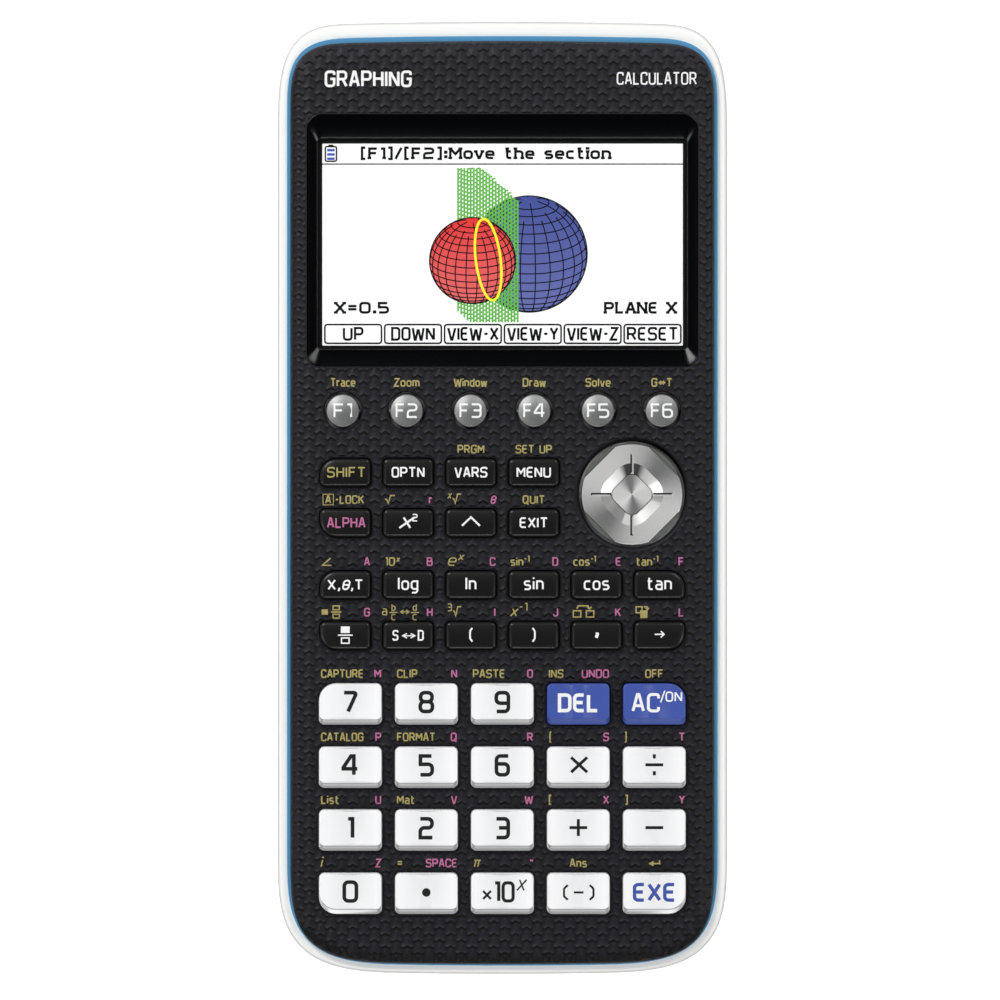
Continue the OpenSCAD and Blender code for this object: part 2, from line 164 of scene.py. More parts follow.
def outline(o, n=24, steps=5):
    """Case outline, anticlockwise: straight sides, arched ends, squarish corners."""
    top = [(o[0] - o[3][0]) * (1 - 2 * i / steps) for i in range(1, steps)]
    side = [o[1] - o[3][1] + (o[2] + o[4][1] - o[1] + o[3][1]) * i / steps for i in range(1, steps)]
    low = [(o[4][0] - o[0]) * (1 - 2 * i / steps) for i in range(1, steps)]
    points = quarter((o[0] - o[3][0], o[1] - o[3][1]), o[3], 0, n, CORNER_POWER)
    points += [(x, o[1]) for x in top]
    points += quarter((o[3][0] - o[0], o[1] - o[3][1]), o[3], 90, n, CORNER_POWER)
    points += [(-o[0], y) for y in side]
    points += quarter((o[4][0] - o[0], o[2] + o[4][1]), o[4], 180, n, CORNER_POWER)
    points += [(x, o[2]) for x in low]
    points += quarter((o[0] - o[4][0], o[2] + o[4][1]), o[4], 270, n, CORNER_POWER)
    points += [(o[0], y) for y in reversed(side)]
    return [(x, y * arch(x)) for x, y in points]


def inside_outline(o, x, y):
    """Whether a point lies in a case outline."""
    y = y / arch(x)
    x = abs(x)
    if x > o[0] or y > o[1] or y < o[2]:
        return False
    corner = o[3] if y > 0 else o[4]
    u = x - (o[0] - corner[0])
    v = y - (o[1] - corner[1]) if y > 0 else (o[2] + corner[1]) - y
    return u <= 0 or v <= 0 or (u / corner[0]) ** CORNER_POWER + (v / corner[1]) ** CORNER_POWER <= 1


def rim_distance(x, y, limit=4.0):
    """How far inside the front outline a point lies, up to limit."""
    if inside_outline(inset(FRONT, limit), x, y):
        return limit
    low, high = 0.0, limit
    for _ in range(14):
        half = (low + high) / 2
        if inside_outline(inset(FRONT, half), x, y):
            low = half
        else:
            high = half
    return low


def round_box(size, radii, centre=(0, 0), n=6):
    """Rectangle with corner radii counted from the top right, anticlockwise."""
    w, h = size[0] / 2, size[1] / 2
    signs = ((1, 1), (-1, 1), (-1, -1), (1, -1))
    points = []
    for i, (sx, sy) in enumerate(signs):
        r = radii[i]
        points += quarter((centre[0] + sx * (w - r), centre[1] + sy * (h - r)), (r, r), 90 * i, n)
    return points


def circle(r, centre=(0, 0), n=64):
    return [(centre[0] + r * cos(2 * pi * i / n), centre[1] + r * sin(2 * pi * i / n)) for i in range(n)]


def box_distance(x, y, centre, size, radii):
    """Signed distance from a rounded rectangle, negative inside."""
    u, v = x - centre[0], y - centre[1]
    corner = (0 if u > 0 else 1) if v > 0 else (3 if u > 0 else 2)
    r = radii[corner]
    u, v = abs(u) - size[0] / 2 + r, abs(v) - size[1] / 2 + r
    return hypot(max(u, 0), max(v, 0)) + min(max(u, v), 0) - r


def turned(points, angle, centre=(0, 0)):
    """Points about the origin turned by degrees and moved to centre."""
    c, s = cos(radians(angle)), sin(radians(angle))
    return [(centre[0] + x * c - y * s, centre[1] + x * s + y * c) for x, y in points]


def shrunk_loop(loop, d):
    """A closed anticlockwise loop moved inwards by d along its vertex normals."""
    moved = []
    for i, (x, y) in enumerate(loop):
        before, after = Vector(loop[i - 1]), Vector(loop[(i + 1) % len(loop)])
        along = (after - before).normalized()
        moved.append((x - along.y * d, y + along.x * d))
    return moved


# ---------- Meshes ----------

def add_piece(name, points, faces, material, body, sharp=30):
    """A mesh piece from points in millimetres, riding on a body."""
    mesh = bpy.data.meshes.new(name)
    mesh.from_pydata([(x * MM, y * MM, z * MM) for x, y, z in points], [], faces)
    piece = bpy.data.objects.new(name, mesh)
    bpy.context.scene.collection.objects.link(piece)
    mesh.materials.append(material)
    finish_mesh(piece, sharp)
    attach(piece, body)
    return piece


def finish_mesh(piece, sharp):
    piece.data.shade_smooth()
    piece.data.set_sharp_from_angle(angle=radians(sharp))


def loft(rings, closed=False):
    """A solid through rings of equally many (x, y, z) points, capped, or closed back to the first ring."""
    n = len(rings[0])
    points = [p for ring in rings for p in ring]
    steps = len(rings) if closed else len(rings) - 1
    faces = []
    for j in range(steps):
        a, b = j * n, (j + 1) % len(rings) * n
        faces += [(a + i, a + (i + 1) % n, b + (i + 1) % n, b + i) for i in range(n)]
    if not closed:
        faces += [tuple(reversed(range(n))), tuple(range(len(points) - n, len(points)))]
    return points, faces


def level(points, z):
    """Plane points lifted to a height."""
    return [(x, y, z) for x, y in points]


def joined(*solids):
    """Several (points, faces) as one."""
    points, faces = [], []
    for p, f in solids:
        faces += [tuple(i + len(points) for i in face) for face in f]
        points += p
    return points, faces


# Points of a plane mesh that are closer than this become one
SNAP = 1e-5


def sheet(regions, keep, lines=()):
    """Triangles of the regions for which keep(set of region numbers) is true, cut along lines."""
    points, faces, edges = [], [], []
    for region in regions:
        faces.append(list(range(len(points), len(points) + len(region))))
        points += region
    for line in lines:
        edges += [(len(points) + i, len(points) + i + 1) for i in range(len(line) - 1)]
        points += line
    vectors = [Vector(p) for p in points]
    cut, _, triangles, _, _, origins = delaunay_2d_cdt(vectors, edges, faces, 0, SNAP)
    return tidy_triangles(cut, [t for t, o in zip(triangles, origins) if keep(set(o))])


def contains(polygon, x, y):
    """Even-odd test of a point in a polygon."""
    inside = False
    for (xa, ya), (xb, yb) in zip(polygon, polygon[1:] + polygon[:1]):
        if (ya > y) != (yb > y) and x < xa + (xb - xa) * (y - ya) / (yb - ya):
            inside = not inside
    return inside


def union_sheet(polygons, lines=()):
    """Triangles of the union of overlapping polygons, cut along lines."""
    points, edges = [], []
    for line in [polygon + polygon[:1] for polygon in polygons] + list(lines):
        edges += [(len(points) + i, len(points) + i + 1) for i in range(len(line) - 1)]
        points += line
    cut, _, triangles, _, _, _ = delaunay_2d_cdt([Vector(p) for p in points], edges, [], 0, SNAP)
    cells = {}
    for polygon in polygons:
        xs, ys = zip(*polygon)
        for i in range(floor(min(xs)), floor(max(xs)) + 1):
            for j in range(floor(min(ys)), floor(max(ys)) + 1):
                cells.setdefault((i, j), []).append(polygon)
    kept = []
    for t in triangles:
        x, y = sum((cut[i] for i in t), Vector((0, 0))) / 3
        if any(contains(polygon, x, y) for polygon in cells.get((floor(x), floor(y)), ())):
            kept.append(t)
    return tidy_triangles(cut, kept)


def tidy_triangles(cut, kept):
    """Only the points in use, as tuples, and every triangle anticlockwise."""
    used = {i: k for k, i in enumerate(sorted({i for t in kept for i in t}))}
    flat = [tuple(cut[i]) for i in used]
    result = []
    for t in kept:
        a, b, c = (Vector(cut[i]) for i in t)
        order = t if (b - a).cross(c - a) > 0 else list(reversed(t))
        result.append(tuple(used[i] for i in order))
    return flat, result


def boundary(triangles):
    """Directed boundary edges of a set of triangles, as {start: end}."""
    sides = {(t[i], t[(i + 1) % 3]) for t in triangles for i in range(3)}
    return {a: b for a, b in sides if (b, a) not in sides}


def boundary_loops(triangles):
    """The boundary of a set of triangles, as closed loops of point numbers."""
    after = boundary(triangles)
    loops = []
    while after:
        start = next(iter(after))
        loop = [start]
        while after[loop[-1]] != start:
            loop.append(after[loop[-1]])
        for i in loop:
            del after[i]
        loops.append(loop)
    return loops


def thick_sheet(flat, triangles, top, bottom):
    """A closed solid between two height functions over the same triangles."""
    n = len(flat)
    points = [(x, y, top(x, y)) for x, y in flat] + [(x, y, bottom(x, y)) for x, y in flat]
    faces = list(triangles) + [tuple(i + n for i in reversed(t)) for t in triangles]
    sides = {(t[i], t[(i + 1) % 3]) for t in triangles for i in range(3)}
    faces += [(b, a, a + n, b + n) for a, b in sides if (b, a) not in sides]
    return points, faces


def lathe(profile, centre, n=64):
    """A solid of revolution about a vertical axis; the profile of (radius, z) starts and ends at radius 0."""
    return loft([level(circle(r, centre, n), z) for r, z in profile[1:-1]])


def add_wall(points, faces, last, ring, z):
    """Joins the loop of point numbers last to a new loop at height z, and returns the new loop's numbers."""
    new = list(range(len(points), len(points) + len(ring)))
    points += level(ring, z)
    n = len(ring)
    faces += [(last[(i + 1) % n], last[i], new[i], new[(i + 1) % n]) for i in range(n)]
    return new


def matched(flat, rim, points, height):
    """Numbers in points of the flat points: those of the rim where they meet it, and new ones elsewhere."""
    place = {(round(points[i][0], 4), round(points[i][1], 4)): i for i in rim}
    numbers = []
    for x, y in flat:
        known = place.get((round(x, 4), round(y, 4)))
        if known is None:
            known = len(points)
            points.append((x, y, height(x, y)))
        numbers.append(known)
    return numbers


# ---------- Materials ----------

def new_material(name):
    """A node material, with its tree and its shader."""
    made = bpy.data.materials.new(name)
    made.use_nodes = True
    tree = made.node_tree
    return made, tree, tree.nodes["Principled BSDF"]


def add_node(tree, kind, inputs=None, **settings):
    """A shader node whose inputs are values, or sockets to link from."""
    node = tree.nodes.new(kind)
    for key, value in settings.items():
        setattr(node, key, value)
    for key, value in (inputs or {}).items():
        if isinstance(value, bpy.types.NodeSocket):
            tree.links.new(value, node.inputs[key])
        else:
            node.inputs[key].default_value = value
    return node


def noise(tree, size_mm, detail=3.0):
    """Noise in object space whose features are about size_mm across."""
    place = add_node(tree, "ShaderNodeTexCoord").outputs["Object"]
    texture = add_node(tree, "ShaderNodeTexNoise", {"Vector": place, "Scale": 1 / (size_mm * MM),
                                                    "Detail": detail})
    return texture.outputs["Fac"]


def spread(tree, value, low, high):
    """Maps a noise value to the range from low to high."""
    node = add_node(tree, "ShaderNodeMapRange", {"Value": value, "From Min": 0.3, "From Max": 0.7,
                                                 "To Min": low, "To Max": high})
    return node.outputs[0]


def blend_colours(tree, factor, a, b):
    """Colour a where factor is 0 and b where it is 1."""
    node = add_node(tree, "ShaderNodeMix", {"Factor": factor}, data_type="RGBA")
    for key, value in ((6, a), (7, b)):
        if isinstance(value, bpy.types.NodeSocket):
            tree.links.new(value, node.inputs[key])
        else:
            node.inputs[key].default_value = (*value, 1)
    return node.outputs[2]


def bump(tree, height, depth_mm):
    return add_node(tree, "ShaderNodeBump", {"Height": height, "Distance": depth_mm * MM}).outputs[0]


def finish(name, colour, roughness=0.4, vary=0.06, patch=6.0, grain=0.12, depth=0.004, **sockets):
    """Moulded or lacquered surface: colour drifts in patches, roughness and bump follow a fine grain."""
    made, tree, shader = new_material(name)
    patches = noise(tree, patch)
    fine = noise(tree, grain, 4.0)
    dark = [c * (1 - vary) for c in colour]
    light = [min(1.0, c * (1 + vary)) for c in colour]
    tree.links.new(blend_colours(tree, patches, dark, light), shader.inputs["Base Color"])
    tree.links.new(spread(tree, fine, roughness * 0.9, roughness * 1.1), shader.inputs["Roughness"])
    tree.links.new(bump(tree, fine, depth), shader.inputs["Normal"])
    for key, value in sockets.items():
        shader.inputs[key.replace("_", " ")].default_value = value
    return made


def maths(tree, operation, *values):
    """The result of a maths node on numbers or sockets."""
    return add_node(tree, "ShaderNodeMath", dict(enumerate(values)), operation=operation).outputs[0]


def ramp(tree, value, low, high):
    """0 where value is at low, 1 where it is at high, and straight between."""
    inputs = {"Value": value, "From Min": low, "From Max": high}
    return add_node(tree, "ShaderNodeMapRange", inputs).outputs[0]


def facing(tree, axis):
    """How far the surface faces along X, Y or Z, from -1 to 1."""
    normal = add_node(tree, "ShaderNodeNewGeometry").outputs["Normal"]
    return add_node(tree, "ShaderNodeSeparateXYZ", {"Vector": normal}).outputs[axis]


def place_along(tree, axis, kind="Object"):
    """Where a point is along X, Y or Z: in metres, or with Generated from 0 to 1 across the piece."""
    place = add_node(tree, "ShaderNodeTexCoord").outputs[kind]
    return add_node(tree, "ShaderNodeSeparateXYZ", {"Vector": place}).outputs[axis]


def tint(material, share, colour):
    """Blends a finish's colour towards another one by a share."""
    tree = material.node_tree
    base = tree.nodes["Principled BSDF"].inputs["Base Color"]
    tree.links.new(blend_colours(tree, share, base.links[0].from_socket, colour), base)


def face_plastic(name):
    """Black plastic with painted shade on the southern slopes of its relief and a painted highlight on its
    northern ones.
    """
    made = finish(name, (0.0095, 0.009, 0.0124), 0.44, 0.10, 9, 0.09, 0.006, Specular_IOR_Level=0.15)
    slope = facing(made.node_tree, 1)
    # Painted shade: slopes that face south, away from the light, are darkened.
    tint(made, ramp(made.node_tree, slope, -0.03, -0.22), (0.0004, 0.0004, 0.0007))
    # Painted highlight: slopes that face north, towards the light, are lightened.
    tint(made, ramp(made.node_tree, slope, 0.04, 0.4), (0.022, 0.0215, 0.027))
    return made


def white_shell(name):
    """White plastic with painted shade on the rounded outer edge of its lip and on its walls."""
    made = finish(name, (0.88, 0.877, 0.843), 0.36, 0.012, 14, 0.2, 0.003)
    tree = made.node_tree
    tilt = facing(tree, 2)
    near = ramp(tree, place_along(tree, 2), (RIM_Z - 1.4) * MM, (RIM_Z - 0.6) * MM)
    # Mask of the painted shade on the rounded outer edge of the lip, near the lip's height.
    edge = maths(tree, "MULTIPLY", ramp(tree, tilt, 0.98, 0.6), near)
    # Painted shade on the walls, which face sideways, and then on the lip's rounded outer edge.
    tint(made, ramp(tree, tilt, 0.8, 0.2), (0.7, 0.7, 0.68))
    tint(made, edge, (0.5, 0.505, 0.5))
    return made


def white_key(name):
    """White key plastic with painted shade down its front, and a little painted shade across the middle of
    its dish.
    """
    made = finish(name, (0.83, 0.835, 0.84), 0.32, 0.01, 5, 0.15, 0.002)
    tree = made.node_tree
    across = place_along(tree, 0, "Generated")
    wave = maths(tree, "COSINE", maths(tree, "MULTIPLY", across, 2 * pi))
    # Painted shade across the middle of the dish.
    tint(made, ramp(tree, wave, 0.7, -1.0), (0.745, 0.75, 0.755))
    # Painted shade on the front slope, which faces south, away from the light.
    tint(made, ramp(tree, facing(tree, 1), -0.32, -0.62), (0.36, 0.365, 0.365))
    return made


def grey_lacquer(name):
    """Metallic lacquer of the round keys, lighter towards the north west: a painted highlight there, fading
    into painted shade towards the south east.
    """
    made = finish(name, (0.31, 0.315, 0.31), 0.42, 0.05, 3, 0.05, 0.002, Metallic=0.7)
    tree = made.node_tree
    across, along = place_along(tree, 0, "Generated"), place_along(tree, 1, "Generated")
    diagonal = maths(tree, "SUBTRACT", across, along)
    # Painted shade towards the south east, away from the light.
    tint(made, ramp(tree, diagonal, -0.55, 0.45), (0.155, 0.16, 0.16))
    return made


def ink(name, colour, **sockets):
    """Printed ink, or a lit area of the display where it is given a glow."""
    return finish(name, colour, 0.55, vary=0.04, patch=1.2, grain=0.08, depth=0.002, **sockets)


def lit_ball(name, low_colour, high_colour, low, high):
    """Lit area of the display whose colour changes between two heights on the screen."""
    made, tree, shader = new_material(name)
    share = ramp(tree, place_along(tree, 1), low * MM, high * MM)
    colour = blend_colours(tree, share, low_colour, high_colour)
    tree.links.new(colour, shader.inputs["Base Color"])
    tree.links.new(colour, shader.inputs["Emission Color"])
    shader.inputs["Emission Strength"].default_value = 0.3
    tree.links.new(spread(tree, noise(tree, 0.5), 0.5, 0.6), shader.inputs["Roughness"])
    return made


# ---------- Lettering: strokes on a grid whose capitals are 10 high ----------

# Points are "x,y", a stroke's points are parted by spaces and strokes by "|".
# A point ending in q, r or R is a slightly, well or fully rounded corner; z closes a stroke, f fills it.
GLYPHS = {
    "A": "0,0 2.6,10 3.6,10 6.2,0|1,3.2 5.2,3.2",
    "B": "0,0 0,10 5.6,10r 5.6,5.3r 0,5.3|4,5.3 6.2,5.3r 6.2,0r 0,0",
    "C": "6,7.6 6,10r 0,10r 0,0r 6,0r 6,2.4",
    "D": "0,0 0,10 6.2,10r 6.2,0r z",
    "E": "5.4,10 0,10r 0,0r 5.4,0|0,5.2 4.8,5.2",
    "F": "5.4,10 0,10 0,0|0,5.2 4.8,5.2",
    "G": "6.2,7.8 6.2,10r 0,10r 0,0r 6.2,0r 6.2,5 3.4,5",
    "H": "0,0 0,10|6,0 6,10|0,5.2 6,5.2",
    "I": "0,0 0,10",
    "J": "5,10 5,0r 0,0r 0,2.2",
    "K": "0,0 0,10|6,10 0.3,4.6|2.2,6.3 6.2,0",
    "L": "0,10 0,0 5.2,0",
    "M": "0,0 0,10|0.3,9.6 3.7,4.2 7.1,9.6|7.4,10 7.4,0",
    "N": "0,0 0,10|0.4,9.6 5.8,0.4|6.2,0 6.2,10",
    "O": "0,0r 0,10r 6.2,10r 6.2,0r z",
    "P": "0,0 0,10 6,10r 6,4.6r 0,4.6",
    "Q": "0,0r 0,10r 6.2,10r 6.2,0r z|3.8,2.6 6.8,-1.8",
    "R": "0,0 0,10 6,10r 6,4.8r 0,4.8|3.4,4.8 6.3,0",
    "S": "6,8.2 6,10r 0,10r 0,5.2r 6,5.2r 6,0r 0,0r 0,1.8",
    "T": "0,10 6.4,10|3.2,10 3.2,0",
    "U": "0,10 0,0r 6.2,0r 6.2,10",
    "V": "0,10 2.7,0 3.7,0 6.4,10",
    "W": "0,10 1.8,0 2.6,0 4.4,8 5.2,8 7,0 7.8,0 9.6,10",
    "X": "0,10 6.2,0|6.2,10 0,0",
    "Y": "0,10 3.1,4.8 6.2,10|3.1,4.8 3.1,0",
    "Z": "0,10 6,10 0,0 6,0",
    "0": "0,0r 0,10r 6.6,10r 6.6,0r z",
    "1": "0,10 2.4,10 2.4,0",
    "2": "0,10 6.4,10r 6.4,5.2r 0,5.2r 0,0 6.6,0",
    "3": "0,10 6.4,10r 6.4,0r 0,0|1.4,5.2 6.4,5.2",
    "4": "5.7,0 5.7,10 4.2,10 0,3.9 0,3.2 7.6,3.2",
    "5": "6,10 0,10 0,5.6 6.4,5.6r 6.4,0r 0,0",
    "6": "6.4,10 0,10r 0,0r 6.4,0r 6.4,5.8r 0,5.8",
    "7": "0,10 6.8,10q 2.2,0",
    "8": "0.2,5.2r 0.2,10r 6.4,10r 6.4,5.2r z|0,5.2r 6.6,5.2r 6.6,0r 0,0r z",
    "9": "0.2,0 6.6,0r 6.6,10r 0,10r 0,4.4r 6.6,4.4",
    "a": "0.4,7 5,7r 5,0 0,0r 0,4r 5,4",
    "b": "0,10 0,0 5,0r 5,7r 0,7",
    "c": "4.8,7 0,7r 0,0r 4.8,0",
    "d": "5,10 5,0 0,0r 0,7r 5,7",
    "e": "0,3.5 5,3.5 5,7r 0,7r 0,0r 4.8,0",
    "g": "5,0.2 0,0.2r 0,7r 5,7 5,-3r 0.4,-3",
    "h": "0,10 0,0|0,7 5,7r 5,0",
    "i": "0,0 0,7|0,8.9 0,10.3",
    "l": "0,0 0,10",
    "m": "0,0 0,7 7.8,7r 7.8,0|3.9,7 3.9,0",
    "n": "0,0 0,7 5,7r 5,0",
    "o": "0,0r 0,7r 5.2,7r 5.2,0r z",
    "p": "0,-3 0,7 5,7r 5,0r 0,0",
    "r": "0,0 0,7 3.4,7",
    "s": "4.6,7 0,7r 0,3.6r 4.8,3.6r 4.8,0r 0,0",
    "t": "1.2,10 1.2,0r 4.2,0|0,7 3.8,7",
    "v": "0,7 2,0 2.8,0 4.8,7",
    "w": "0,7 1.3,0 2.1,0 3.4,6 4,6 5.3,0 6.1,0 7.4,7",
    "x": "0,0 4.8,7|0.3,7 4.6,0",
    "+": "0,5 6.8,5|3.4,1.6 3.4,8.4",
    "−": "0,5 6.8,5",
    "–": "0,5 4.6,5",
    "-": "0,5 3,5",
    "×": "0.6,2 6.4,8|0.6,8 6.4,2",
    "÷": "0,5 7.2,5|3.6,7.4 3.6,9|3.6,1 3.6,2.6",
    "(": "2.2,10.6 0.4,8r 0.4,2r 2.2,-0.6",
    ")": "0,10.6 1.8,8r 1.8,2r 0,-0.6",
    "[": "2.4,11 0,11 0,-1 2.4,-1",
    "]": "0,11 2.4,11 2.4,-1 0,-1",
    "{": "2.8,11 1.3,11r 1.3,5r 0,5|0,5 1.3,5r 1.3,-1r 2.8,-1",
    "}": "0,11 1.5,11r 1.5,5r 2.8,5|2.8,5 1.5,5r 1.5,-1r 0,-1",
    ",": "1.1,1.6 1.1,-0.2q 0.2,-2",
    ".": "0.4,0.2 0.4,0.9 1.1,0.9 1.1,0.2 zf",
    ":": "0.4,1 0.4,1.7 1.1,1.7 1.1,1 zf|0.4,5.8 0.4,6.5 1.1,6.5 1.1,5.8 zf",
    "=": "0,3.4 6,3.4|0,6.8 6,6.8",
    "/": "0,-1 4.2,11",
    '"': "0.4,7.2 0.4,10|2.6,7.2 2.6,10",
    "^": "0,1.6 5,6.8 10,1.6",
    "√": "0,4.8 1.5,4.8 3.3,0 5.7,9.4 10,9.4",
    "π": "0,6.6 6.4,6.6|1.7,6.6 1.5,0|4.7,6.6 4.9,0",
    "θ": "0,0R 0,9.6R 5.4,9.6R 5.4,0R z|0,4.8 5.4,4.8",
    "∠": "6,7.2 0,0 6.8,0",
    "→": "0,4.6 9,4.6|6,7.6 9.2,4.6 6,1.6",
    "↔": "1,4.6 8,4.6|3.4,7 0.8,4.6 3.4,2.2|5.6,7 8.2,4.6 5.6,2.2",
    "↵": "8.4,8.6 8.4,4.2 1,4.2|3.8,7 0.8,4.2 3.8,1.4",
    "•": "2,3R 2,7R 6,7R 6,3R zf",
    "■": "0,3.2 0,6.8 3.6,6.8 3.6,3.2 zf",
    "½": "2.2,6.7 2.2,9.9 6.8,9.9 6.8,6.7 zf|0,5 9,5|2.2,0.1 2.2,3.3 6.8,3.3 6.8,0.1 z",
    "⅓": "1.4,7 1.4,10.4 6,10.4 6,7 z|0,5 7.4,5|1.4,-0.4 1.4,3 6,3 6,-0.4 z",
    "⌂": "0,0 0,5 4.6,5 4.6,0 z|8,0 8,5 12.6,5 12.6,0 z|2.2,6.6 3,9 9,9 9.8,6.8|8.4,8.2 9.9,6.4 11.2,8.2",
    "⌐": "0,4 0,9 5,9 5,4 z|4,0 4,5.5 9,5.5 9,0 zf|6.4,9 9.4,9 9.4,6.8|8,8 9.4,6.4 10.8,8",
    "▭": "0,-1.6 0,11.6 8.6,11.6 8.6,-1.6 z",
    " ": "",
}
# Radius of each kind of corner
CORNERS = {"q": 0.9, "r": 2.1, "R": 9}
# On the grid: gap between letters, scale and rise of a superscript, and lean of a slanted letter
LETTER_GAP = 2.9
SUPER_SCALE = 0.7
SUPER_RISE = 5.2
SLANT = 0.22


def rounded(points, radii, closed):
    """A polyline whose corners with a radius are replaced by arcs."""
    path = []
    n = len(points)
    for i, (p, r) in enumerate(zip(points, radii)):
        if not r or (not closed and i in (0, n - 1)):
            path.append(p)
            continue
        p, before, after = Vector(p), Vector(points[i - 1]), Vector(points[(i + 1) % n])
        u, v = before - p, after - p
        half = u.angle(v) / 2
        reach = min(r / tan(half), u.length * 0.499, v.length * 0.499)
        a, b = p + u.normalized() * reach, p + v.normalized() * reach
        centre = p + (u.normalized() + v.normalized()).normalized() * (reach / cos(half))
        start, turn = a - centre, (a - centre).angle_signed(b - centre)
        steps = max(2, ceil(abs(degrees(turn)) / 23))
        for k in range(steps + 1):
            t = -turn * k / steps
            path.append((centre.x + start.x * cos(t) - start.y * sin(t),
                         centre.y + start.x * sin(t) + start.y * cos(t)))
    return path


def ribbon(path, width, closed):
    """Quads of the given width along a path, with mitred joins and square ends."""
    n = len(path)
    left, right = [], []
    for i, p in enumerate(path):
        p = Vector(p)
        before = Vector(path[i - 1]) if closed or i else None
        after = Vector(path[(i + 1) % n]) if closed or i < n - 1 else None
        u = (p - before).normalized() if before else (after - p).normalized()
        v = (after - p).normalized() if after else u
        normal = Vector((-(u + v).y, (u + v).x)).normalized()
        reach = width / 2 / max(0.45, normal.dot(Vector((-u.y, u.x))))
        left.append(tuple(p + normal * reach))
        right.append(tuple(p - normal * reach))
    count = n if closed else n - 1
    return [[left[i], right[i], right[(i + 1) % n], left[(i + 1) % n]] for i in range(count)]


def glyph_strokes(character):
    """[(points, radii, closed, filled), ...] and the glyph's width."""
    strokes = []
    for text in filter(None, GLYPHS[character].split("|")):
        words = text.split()
        ending = words.pop() if words[-1][0] == "z" else ""
        points, radii = [], []
        for word in words:
            radii.append(CORNERS.get(word[-1], 0))
            points.append(tuple(float(v) for v in word.rstrip("qrR").split(",")))
        strokes.append((points, radii, bool(ending), "f" in ending))
    width = max([p[0] for s in strokes for p in s[0]], default=3)
    return strokes, width


def layout(text):
    """Glyphs of a text with their places: [(character, x, y, scale, slant), ...] and the width.

    ~ slants the next character, and <...> is a superscript.
    """
    placed, x, scale, rise, slant = [], 0.0, 1.0, 0.0, 0.0
    for character in text:
        if character == "~":
            slant = SLANT
        elif character == "<":
            scale, rise = SUPER_SCALE, SUPER_RISE
        elif character == ">":
            scale, rise = 1.0, 0.0
        else:
            width = glyph_strokes(character)[1]
            placed.append((character, x, rise, scale, slant))
            x += (width + LETTER_GAP) * scale
            slant = 0.0
    return placed, x - LETTER_GAP * (SUPER_SCALE if rise else 1.0)


def slabs(points, reach):
    """Short bars across the upright free ends of a stroke."""
    bars = []
    for (x0, y0), (x1, y1) in ((points[0], points[1]), (points[-1], points[-2])):
        if abs(y0 - y1) > 1.2 * abs(x0 - x1) and min(abs(y0), abs(y0 - 7), abs(y0 - 10)) < 0.5:
            bars.append([(x0 - reach, y0), (x0 + reach, y0)])
    return bars


def lettering(text, at, height, stroke, align="centre", fit=None, narrow=1.0, slab=0.0):
    """Polygons of a text. at is its baseline point, height is over the strokes, fit is its whole width.

    slab is the reach of the bars across the ends of the strokes of letters.
    """
    unit = (height - stroke) / 10
    placed, width = layout(text)
    wide = (fit - stroke) / width if fit else unit * narrow
    total = width * wide + stroke
    start = at[0] - {"left": 0, "centre": total / 2, "right": total}[align] + stroke / 2
    polygons = []
    for character, x, y, scale, slant in placed:
        for points, radii, closed, filled in glyph_strokes(character)[0]:
            path = rounded([(px + py * slant, py) for px, py in points], radii, closed)
            path = [(start + (x + px * scale) * wide, at[1] + stroke / 2 + (y + py * scale) * unit)
                    for px, py in path]
            if filled:
                polygons.append(path)
            polygons += ribbon(path, stroke * (0.8 if scale < 1 else 1), closed)
            if slab and not closed and (character.isalpha() or character == "1"):
                for bar in slabs(points, slab):
                    bar = [(start + (x + px) * wide, at[1] + stroke / 2 + py * unit) for px, py in bar]
                    polygons += ribbon(bar, stroke, False)
    return polygons


def print_solid(polygons, lines, height, lift=0.012, sink=0.03):
    """A thin closed solid of ink lying on a surface of the given height function."""
    flat, triangles = union_sheet(polygons, lines)
    return thick_sheet(flat, triangles, lambda x, y: height(x, y) + lift, lambda x, y: height(x, y) - sink)


# ---------- Face with its moulded relief ----------

# How far the face has fallen, by the distance inside its rim
ROLL = [(0, 1.3), (0.12, 1.02), (0.45, 0.6), (0.95, 0.33), (1.6, 0.15), (2.5, 0.04), (3.6, 0)]
# Heights of the ground and the crests of the relief, and half width and end slope of a ridge's arms
RELIEF_LOW = -0.05
RELIEF_HIGH = 0.13
ARM_W = 0.5
ARM_END = 0.35
CREST = 0.15
# Direction, length, and how far the crest lies to the left of the arm's middle
ARMS = ((90, 1.5, 0.0), (210, 1.3, CREST), (330, 1.3, -CREST))
PITCH_Y = 2.478
PITCH_X = 2.146
PATTERN_AT = (4.80, 84.04)
# The relief starts MARGIN away from holes and rim, and reaches its full height FADE further on
MARGIN = 0.22
FADE = 0.25
CHAMFER = 0.1


def cap_size(node):
    """Width and length of a key's cap, without its flange."""
    low, high = node_box(node)
    return [high.x - low.x - 2 * FLANGE, high.y - low.y - 2 * FLANGE]


def cap_radii(node, extra=0.0):
    """Corner radii of a cap, from the top right anticlockwise."""
    small, large = (1.1, 3.4) if node in NUMBER_KEYS else (1.0, 3.2)
    return [(large if ROUND_CORNER.get(node) == i else small) + extra for i in (1, 2, 3, 4)]


def face_holes():
    """Every hole in the face: [(centre, size, corner radii), ...]."""
    holes = []
    for node in list(WORD_KEYS) + list(NUMBER_KEYS):
        w, h = cap_size(node)
        holes.append((middle(node).xy, [w + 2 * HOLE_GAP, h + 2 * HOLE_GAP], cap_radii(node, HOLE_GAP)))
    for node in ROUND_KEYS:
        holes.append((middle(node).xy, [2 * ROUND_HOLE_R] * 2, [ROUND_HOLE_R] * 4))
    holes.append((pad_at.xy, [2 * PAD_HOLE_R] * 2, [PAD_HOLE_R] * 4))
    holes.append((bezel_at, BEZEL, [BEZEL_CORNER] * 4))
    return holes


